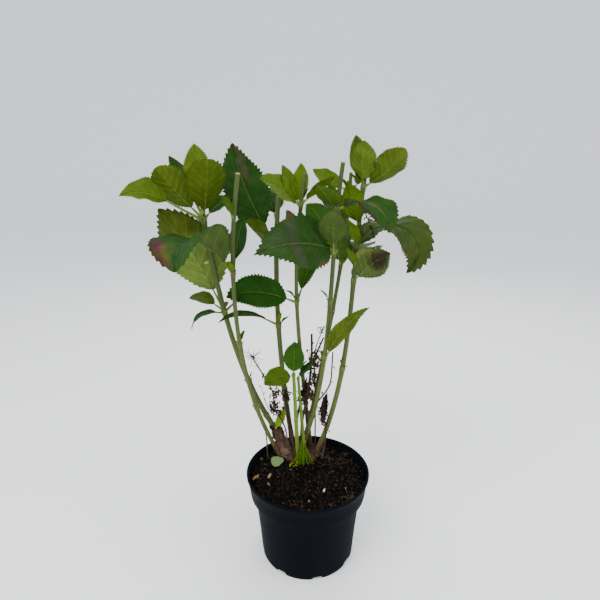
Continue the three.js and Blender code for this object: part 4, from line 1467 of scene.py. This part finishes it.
def old_stump(chance):
    """The cut stump with its frayed top and fibres all over."""
    skin = Skin()
    foot, top = np.array(STUMP_FOOT, float), np.array(STUMP_TOP, float)
    shares = np.linspace(0, 1.02, 26)
    line = foot + (top - foot) * shares[:, None]
    radii = between(STUMP_RADIUS, shares) * (1 + 0.05 * np.sin(9 * shares))
    radii[-3:] *= (0.97, 0.85, 0.55)
    colours = np.linspace(colour_of("stump foot"), colour_of("stump top"), 26)
    tube(skin, line, radii, colours, sides=30, ridges=0.2, seed=4.0)
    for _ in range(26):
        out = level(chance.uniform(0, 2 * math.pi)) * chance.uniform(4, 8.5)
        tip = top + out * 1.3 + (0, 0, chance.uniform(3, 7))
        brown = colour_of("stump fray") * chance.uniform(0.5, 1.5)
        thread(skin, [top + out, top + out * 1.2 + (0, 0, 2), tip], 5, (1.5, 0.5), brown, sides=6)
    for _ in range(70):
        share = chance.uniform(0.1, 1)
        out = level(chance.uniform(0, 2 * math.pi))
        centre = foot + (top - foot) * share
        start = centre + out * between(STUMP_RADIUS, share) * 0.95
        far = start + out * chance.uniform(1, 3.5) + (0, 0, chance.uniform(-9, 9))
        brown = colour_of("stump fibre") * chance.uniform(0.4, 1.3)
        thread(skin, [start, (start + far) / 2 + out, far], 6, (0.8, 0.25), brown)
    skin.piece("old_stump_bark", ["old_wood"], "old_wood", ["old_stump"])


def cane_swelling(shares, cane, amount):
    """How much thicker the cane is at each share of its length."""
    swell = np.ones(len(shares))
    for node in cane.nodes:
        collar = amount * np.exp(-(((shares - node) / 0.009) ** 2))
        shoulder = amount * 0.35 * np.exp(-(((shares - node) / 0.03) ** 2))
        swell += collar + shoulder
    return swell


def build_cane(number, cane, settings, chance):
    """One cane with its swollen nodes, buds and cut or growing top."""
    skin = Skin()
    length = np.linalg.norm(np.subtract(cane.top, cane.foot))
    shares = np.linspace(-0.05, 1, int(length / 2))
    line = bezier(cane, shares)
    radii = between(cane.widths, np.clip(shares, 0, 1)) / 2 * cane_swelling(shares, cane, settings.swelling)
    old, young = np.array(settings.old), np.array(settings.young)
    blend = np.clip((line[:, 2] - 210) / 240, 0, 1)[:, None]
    colours = old * (1 - blend) + young * blend
    brown = np.clip((WOODY_TO.get(number, WOODY_FOOT) - line[:, 2]) / 30, 0, 1)[:, None] * 0.8
    colours = colours * (1 - brown) + colour_of("woody foot") * brown
    for node in cane.nodes:
        ring = 0.55 * np.exp(-(((shares - node) / 0.005) ** 2))[:, None]
        colours = colours * (1 - ring) + colour_of("node ring") * ring
    cap = (colour_of("cut rim"), colour_of("pith")) if cane.cut else None
    tube(skin, line, radii, colours, sides=18, ridges=0.035, seed=number, cap=cap)
    for k, node in enumerate(cane.nodes):
        place = bezier(cane, [node, node + 0.01])
        way = unit(place[1] - place[0])
        turn = chance.uniform(0, math.pi) + k * math.pi / 2
        for side in (0, math.pi):
            out = level(turn + side)
            radius = between(cane.widths, node) / 2
            centre = place[0] + out * radius * 1.2 + way * 2.4
            bump(skin, centre, BUD_RADII, out * 0.6 + way, colour_of("bud"))
    skin.piece(f"cane_{number}_bark", ["cane_bark"], "cane", [f"cane_{number}"])


def leafy(name, cane, leaves, node, slot, radii=STALK_RADIUS, tone="cane stalk", seed=1):
    """The blades of one cane as a piece, and their stalks and midribs as another."""
    chance = random.Random(seed)
    blades, stalks = Skin(), Skin()
    for k, leaf in enumerate(leaves):
        foot = bezier(cane, [leaf.at])[0]
        crumple = 1.8 if leaf.marks == "withered" else 0
        blade(blades, foot, leaf, chance, cell=2 * k, crumple=crumple)
        stalk(stalks, foot, leaf, radii, colour_of(tone) * chance.uniform(0.85, 1.1))
    if slot == "foliage":
        node_leaves(blades, cane, chance)
    blades.piece(f"{name}_blades", BLADE_SKINS, slot, [node])
    stalks.piece(f"{name}_stalks", ["stalk_skin"], slot, [node])


def node_leaves(skin, cane, chance):
    """Pairs of small new leaves at a cane's nodes, above its bare foot."""
    for at in cane.nodes:
        if at <= BARE_FOOT:
            continue
        foot = bezier(cane, [at])[0]
        for turn in (0, 180):
            heading = chance.uniform(0, 360) + turn
            long = chance.uniform(8, 14 + 12 * at)
            rise = chance.uniform(40, 75)
            stem = between(cane.widths, at) * 0.55 + long * 0.15
            wide = long * chance.uniform(0.4, 0.55)
            droop = chance.uniform(-10, 60)
            leaf = Leaf(at, heading, rise, stem, long, wide, "fresh", droop=droop, fold=25)
            blade(skin, foot, leaf, chance, steps=20, half=3)


def young_shoot(number, cane, leaves):
    """A light green shoot with its first leaves."""
    name, node = f"shoot_{number}", f"young_shoot_{number}"
    skin = Skin()
    shares = np.linspace(0, 1, 90)
    radii = between(cane.widths, shares) / 2 * cane_swelling(shares, cane, 0.2) * SHOOT_SWELL
    colours = np.linspace(colour_of("shoot foot"), colour_of("shoot top"), 90)
    tube(skin, bezier(cane, shares), radii, colours, sides=12, ridges=0.02)
    skin.piece(f"{name}_stem", ["stalk_skin"], "young_growth", [node])
    leafy(name, cane, leaves, node, "young_growth", THIN_STALK, "shoot stalk", 40 + number)


def new_leaf_tuft(chance):
    """A tuft of thin new leaves that leans together over the soil, with curled ones at its foot."""
    tuft, core = Skin(), Skin()
    foot = np.array([*TUFT_CENTRE, SOIL_TOP], float)
    places = [foot - (0, 0, 3), foot + (0.6, 0, 20), foot + (0, 0, TUFT_HEIGHT)]
    thread(core, places, 24, TUFT_STEM, colour_of("tuft stem"), sides=10, ridges=0.05)
    for k in range(TUFT_BLADES + TUFT_EXTRA):
        extra = k >= TUFT_BLADES
        astray = extra * chance.uniform(-14, 14)
        turn = math.radians(175 + 190 * (k % TUFT_BLADES) / (TUFT_BLADES - 1) + astray)
        reach = chance.uniform(0.2, 0.9) if extra else 1
        away = np.array([TUFT_SPREAD[0] * math.cos(turn), TUFT_SPREAD[1] * math.sin(turn), 0]) * reach
        meet, far = chance.uniform(*TUFT_MEET), np.hypot(away[0], away[1])
        heading = math.degrees(math.atan2(-away[1], -away[0]))
        rise = math.degrees(math.atan2(meet, far))
        bend = chance.uniform(-10, 14)
        long = math.hypot(meet, far) + chance.uniform(1, 9)
        tint = chance.choice(("new", "shoot", "sprig"))
        leaf = Leaf(0, heading, rise + bend / 2, 2, long, chance.uniform(1.5, 2.8), tint, droop=bend)
        blade(tuft, foot + away, leaf, chance, steps=16, half=1)
    for _ in range(TUFT_CURLS):
        near = foot + (chance.uniform(-21, -8), chance.uniform(-7, 2), chance.uniform(-1, 4))
        heading, rise = chance.uniform(120, 420), chance.uniform(20, 80)
        long, wide = chance.uniform(6, 11), chance.uniform(2.5, 4)
        leaf = Leaf(0, heading, rise, 1, long, wide, "sprig", droop=chance.uniform(0, 120))
        blade(tuft, near, leaf, chance, steps=10, half=2)
    tuft.piece("new_leaf_blades", BLADE_SKINS, "young_growth", ["new_leaf_tuft"])
    core.piece("new_leaf_stem", ["stalk_skin"], "young_growth", ["new_leaf_tuft"])


def stump_sprout(chance):
    """The new leaf on the stump, with its stalk."""
    sprout, stem = Skin(), Skin()
    blade(sprout, SPROUT_FOOT, SPROUT, chance, cell=0)
    stalk(stem, SPROUT_FOOT, SPROUT, SPROUT_STALK, colour_of("sprout stalk"))
    sprout.piece("stump_sprout_blade", BLADE_SKINS, "young_growth", ["stump_sprout"])
    stem.piece("stump_sprout_stalk", ["stalk_skin"], "young_growth", ["stump_sprout"])


# Dry remains


def scrap(skin, place, size, chance, tone=None):
    """A curled scrap of a dead leaf or flower."""
    heading, rise = chance.uniform(0, 360), chance.uniform(-70, 70)
    long, wide = size * chance.uniform(1.2, 2.6), size * chance.uniform(0.3, 0.9)
    droop, sweep = chance.uniform(-260, 260), chance.uniform(-120, 120)
    roll, fold = chance.uniform(0, 360), chance.uniform(10, 60)
    leaf = Leaf(0, heading, rise, 0.5, long, wide, "dark", droop=droop, sweep=sweep, roll=roll, fold=fold)
    shade = linear(tone or chance.choice(SCRAP_TONES)) * chance.uniform(0.35, 1.0)
    blade(skin, place, leaf, chance, steps=14, half=2, crumple=0.6, tone=shade)


def strand(skin, place, size, chance, colour):
    """A thin curly thread of a dried flower head."""
    way = any_way(chance)
    places = [np.array(place, float)]
    for _ in range(4):
        way = unit(way + [chance.gauss(0, 0.7) for _ in range(3)])
        places.append(places[-1] + way * size * 0.5)
    shade = linear(colour) * chance.uniform(0.6, 1.4)
    thread(skin, places, 12, (0.45, 0.25), shade, sides=4)


def rolled_leaf(skin, chance):
    """A withered leaf, rolled up lengthwise and hanging."""
    heading, rise = ROLLED_WAY
    for turn in range(0, 360, 60):
        long, wide = (size * chance.uniform(0.8, 1.05) for size in ROLLED_SIZE)
        twist = chance.uniform(40, 90)
        leaf = Leaf(0, heading, rise, 0, long, wide, "dark", roll=turn, twist=twist, fold=50)
        shade = colour_of("rolled leaf") * chance.uniform(0.35, 1.3)
        blade(skin, ROLLED_TOP, leaf, chance, steps=44, half=3, crumple=1.7, tone=shade)


def dried_head(twig, bits, line, centre, reach, count, size, colour, chance):
    """Curled bits packed round a centre, each on a thin stalk from the twig or from another bit."""
    knots = [np.array(centre, float)]
    for _ in range(count):
        place = np.array(centre) + any_way(chance) * np.array(reach) * chance.random() ** 0.4
        near = min(knots + list(line[::6]), key=lambda knot: np.linalg.norm(knot - place))
        bend = (near + place) / 2 + [chance.uniform(-1.5, 1.5) for _ in range(3)]
        thread(twig, [near, bend, place], 4, (0.6, 0.3), linear(colour))
        scrap(bits, place, size * chance.uniform(0.6, 1.2), chance, colour)
        if chance.random() < 0.5:
            strand(bits, place, size, chance, colour)
        knots.append(place)


def spider_head(twig, bits, chance):
    """Thin bare flower stalks that spread from one point."""
    centre = np.array(SPIDER_HEAD, float)
    for k in range(SPIDER_STALKS):
        turn = 2 * math.pi * k / SPIDER_STALKS + chance.uniform(-0.2, 0.2)
        way = unit(np.array([math.cos(turn), chance.uniform(-0.9, 0.9), math.sin(turn) + 0.2]))
        far = centre + way * chance.uniform(*SPIDER_REACH)
        bend = (centre + far) / 2 + [chance.uniform(-2, 2) for _ in range(3)]
        thread(twig, [centre, bend, far], 6, (0.55, 0.22), colour_of("flower stalk"))
        bump(bits, far, (0.8, 0.9), way, colour_of("flower tip"))
    bump(bits, centre, (2.2, 2.4), (0, 0, 1), colour_of("flower centre"))


def dry_twig(name, places, widths, scraps, chance):
    """A dry twig with its side twigs, dried flower heads and curled scraps."""
    twig, bits = Skin(), Skin()
    line = spline(places, TWIG_STEPS)
    radii = np.linspace(*widths, TWIG_STEPS + 1) / 2
    knots = 1 + 0.25 * np.clip(np.sin(np.linspace(0, 26, TWIG_STEPS + 1)), 0.7, 1) - 0.2
    tone = np.linspace(colour_of("twig foot"), colour_of("twig end"), TWIG_STEPS + 1)
    tube(twig, line, radii * knots, tone, sides=9, ridges=0.14, seed=widths[0])
    for route, ends, count in SIDE_TWIGS.get(name, ()):
        side = thread(twig, route, 24, ends, colour_of("side twig"), sides=8, ridges=0.1)
        for at in (14, 19, 24)[:count]:
            scrap(bits, side[at], chance.uniform(3, 6), chance)
    if name == "dry_twig_right":
        rolled_leaf(bits, chance)
    for head in HEADS.get(name, ()):
        dried_head(twig, bits, line, *head, chance)
    if name == "dry_twig_left":
        spider_head(twig, bits, chance)
    for _ in range(scraps):
        start = line[min(TWIG_STEPS, int(chance.uniform(0.5, 1.0) * TWIG_STEPS))]
        far = start + np.array([chance.uniform(-8, 8), chance.uniform(-6, 6), chance.uniform(-5, 7)])
        bend = (start + far) / 2 + (0, 0, chance.uniform(-2, 2))
        thread(twig, [start, bend, far], 5, (0.6, 0.3), colour_of("scrap stalk"))
        if chance.random() < 0.8:
            scrap(bits, far, chance.uniform(3, 6), chance)
    twig.piece(f"{name}_wood", ["dry_twig"], "dry_twigs", [name])
    if scraps:
        bits.piece(f"{name}_scraps", ["dry_twig"], "dry_twigs", [name])


def dry_curl(chance):
    """A curled dry strip with scraps along it, under a leaf on the right."""
    skin = Skin()
    line = thread(skin, DRY_CURL, 30, (0.8, 0.5), colour_of("curl"), sides=6, ridges=0.1)
    for at in range(4, 31, 2):
        place = line[at] + (chance.uniform(-2, 2), 0, chance.uniform(-2, 2))
        scrap(skin, place, chance.uniform(3, 5), chance, COLOURS["curl scrap"])
    skin.piece("dry_curl", ["dry_twig"], "dry_twigs")


# Stage


def area_light(name, place, size, power):
    """A soft round light that faces the plant."""
    light = bpy.data.lights.new(name, "AREA")
    light.shape = "DISK"
    light.size = size
    light.energy = power
    ob = added(name, light)
    ob.location = place
    ob.rotation_euler = (Vector(LIGHT_AIM) - Vector(place)).to_track_quat("-Z", "Y").to_euler()


def build_camera():
    """The camera, at the height and tilt from which the plant is seen."""
    camera = bpy.data.cameras.new("camera")
    camera.sensor_width = CAMERA_SENSOR
    camera.lens = CAMERA_LENS
    ob = added("camera", camera)
    ob.location = CAMERA_PLACE
    ob.rotation_euler = (math.radians(90 - CAMERA_TILT), 0, 0)
    bpy.context.scene.camera = ob


def build_lights(key_power):
    """Three soft lights in a plain pale studio."""
    for name, (place, size, share) in LIGHTS.items():
        area_light(name, place, size, key_power * share)
    world = bpy.data.worlds.new("studio")
    world.use_nodes = True
    background = world.node_tree.nodes["Background"]
    background.inputs["Color"].default_value = STUDIO_COLOUR
    background.inputs["Strength"].default_value = STUDIO_STRENGTH
    bpy.context.scene.world = world


def build_floor(colour):
    """A plain floor that bends up behind the plant."""
    turns = np.linspace(0, math.pi / 2, 24)
    level = FLOOR_REACH - FLOOR_BEND
    section = [(-FLOOR_REACH, 0.0), (level, 0.0)]
    for turn in turns[1:]:
        section.append((level + FLOOR_BEND * math.sin(turn), FLOOR_BEND - FLOOR_BEND * math.cos(turn)))
    section.append((FLOOR_REACH, FLOOR_HEIGHT))
    points = [(x, y, z) for y, z in section for x in (-FLOOR_HALF_WIDTH, FLOOR_HALF_WIDTH)]
    faces = [(2 * i, 2 * i + 1, 2 * i + 3, 2 * i + 2) for i in range(len(section) - 1)]
    mesh = bpy.data.meshes.new("floor")
    mesh.from_pydata(points, [], faces)
    mesh.polygons.foreach_set("use_smooth", [True] * len(faces))
    n = Nodes("floor")
    n.shader.inputs["Base Color"].default_value = (*colour, 1)
    n.shader.inputs["Roughness"].default_value = 0.9
    mesh.materials.append(n.material)
    floor = added("floor", mesh)


# Operators


class HYDRANGEA_OT_stage(bpy.types.Operator):
    """Adds the camera, the light and the floor"""

    bl_idname = "hydrangea.stage"
    bl_label = "Stage"

    def execute(self, context):
        settings = context.scene.hydrangea_stage
        build_camera()
        build_lights(settings.key_power)
        build_floor(settings.floor)
        return {"FINISHED"}


class HYDRANGEA_OT_pot(bpy.types.Operator):
    """Builds the nursery pot"""

    bl_idname = "hydrangea.pot"
    bl_label = "Pot"

    def execute(self, context):
        build_pot(context.scene.hydrangea_pot)
        return {"FINISHED"}


class HYDRANGEA_OT_soil(bpy.types.Operator):
    """Builds the soil and what lies on it"""

    bl_idname = "hydrangea.soil"
    bl_label = "Soil"

    def execute(self, context):
        build_soil(context.scene.hydrangea_soil)
        return {"FINISHED"}


class HYDRANGEA_OT_wood(bpy.types.Operator):
    """Builds the root crown and the old stump"""

    bl_idname = "hydrangea.wood"
    bl_label = "Root crown and stump"

    def execute(self, context):
        chance = random.Random(5)
        root_crown(chance)
        old_stump(chance)
        return {"FINISHED"}


class HYDRANGEA_OT_canes(bpy.types.Operator):
    """Builds the canes"""

    bl_idname = "hydrangea.canes"
    bl_label = "Canes"

    def execute(self, context):
        chance = random.Random(12)
        for number, cane in enumerate(CANES, 1):
            build_cane(number, cane, context.scene.hydrangea_cane, chance)
        return {"FINISHED"}


class HYDRANGEA_OT_leaves(bpy.types.Operator):
    """Builds the canes' leaves and their stalks"""

    bl_idname = "hydrangea.leaves"
    bl_label = "Leaves"

    def execute(self, context):
        for number, (cane, leaves) in enumerate(zip(CANES, LEAVES), 1):
            every = leaves + SMALL_LEAVES.get(number, ())
            leafy(f"leaves_{number}", cane, every, f"foliage_{number}", "foliage", seed=number)
        return {"FINISHED"}


class HYDRANGEA_OT_young(bpy.types.Operator):
    """Builds the young shoots, the tuft of new leaves and the sprout"""

    bl_idname = "hydrangea.young"
    bl_label = "Young growth"

    def execute(self, context):
        chance = random.Random(21)
        for number, (cane, leaves) in enumerate(zip(SHOOTS, SHOOT_LEAVES), 1):
            young_shoot(number, cane, leaves)
        new_leaf_tuft(chance)
        stump_sprout(chance)
        return {"FINISHED"}


class HYDRANGEA_OT_dry(bpy.types.Operator):
    """Builds the dry twigs, dried flower heads and scraps"""

    bl_idname = "hydrangea.dry"
    bl_label = "Dry remains"

    def execute(self, context):
        chance = random.Random(8)
        for name, (places, widths, scraps) in DRY_TWIGS.items():
            dry_twig(name, places, widths, scraps, chance)
        dry_curl(chance)
        return {"FINISHED"}


class HYDRANGEA_PT_panel(bpy.types.Panel):
    bl_label = "Hydrangea"
    bl_space_type = "VIEW_3D"
    bl_region_type = "UI"
    bl_category = "Hydrangea"

    def draw(self, context):
        for operator in OPERATORS:
            self.layout.operator(operator.bl_idname)
        for group in GROUPS:
            box = self.layout.box()
            settings = getattr(context.scene, group)
            for key in GROUPS[group].__annotations__:
                box.prop(settings, key)


OPERATORS = (
    HYDRANGEA_OT_stage,
    HYDRANGEA_OT_pot,
    HYDRANGEA_OT_soil,
    HYDRANGEA_OT_wood,
    HYDRANGEA_OT_canes,
    HYDRANGEA_OT_leaves,
    HYDRANGEA_OT_young,
    HYDRANGEA_OT_dry,
)
GROUPS = {
    "hydrangea_stage": StageSettings,
    "hydrangea_pot": PotSettings,
    "hydrangea_soil": SoilSettings,
    "hydrangea_cane": CaneSettings,
    "hydrangea_leaf": LeafSettings,
}


def register():
    """Registers the settings, the operators and the panel."""
    for group in GROUPS:
        bpy.utils.register_class(GROUPS[group])
        setattr(bpy.types.Scene, group, PointerProperty(type=GROUPS[group]))
    for operator in OPERATORS:
        bpy.utils.register_class(operator)
    bpy.utils.register_class(HYDRANGEA_PT_panel)


def unregister():
    """Takes out the panel, the operators and the settings."""
    bpy.utils.unregister_class(HYDRANGEA_PT_panel)
    for operator in reversed(OPERATORS):
        bpy.utils.unregister_class(operator)
    for group in GROUPS:
        delattr(bpy.types.Scene, group)
        bpy.utils.unregister_class(GROUPS[group])


def main():
    """Builds the plant and its stage."""
    register()
    for operator in OPERATORS:
        _, name = operator.bl_idname.split(".")
        getattr(bpy.ops.hydrangea, name)()


if __name__ == "__main__":
    main()
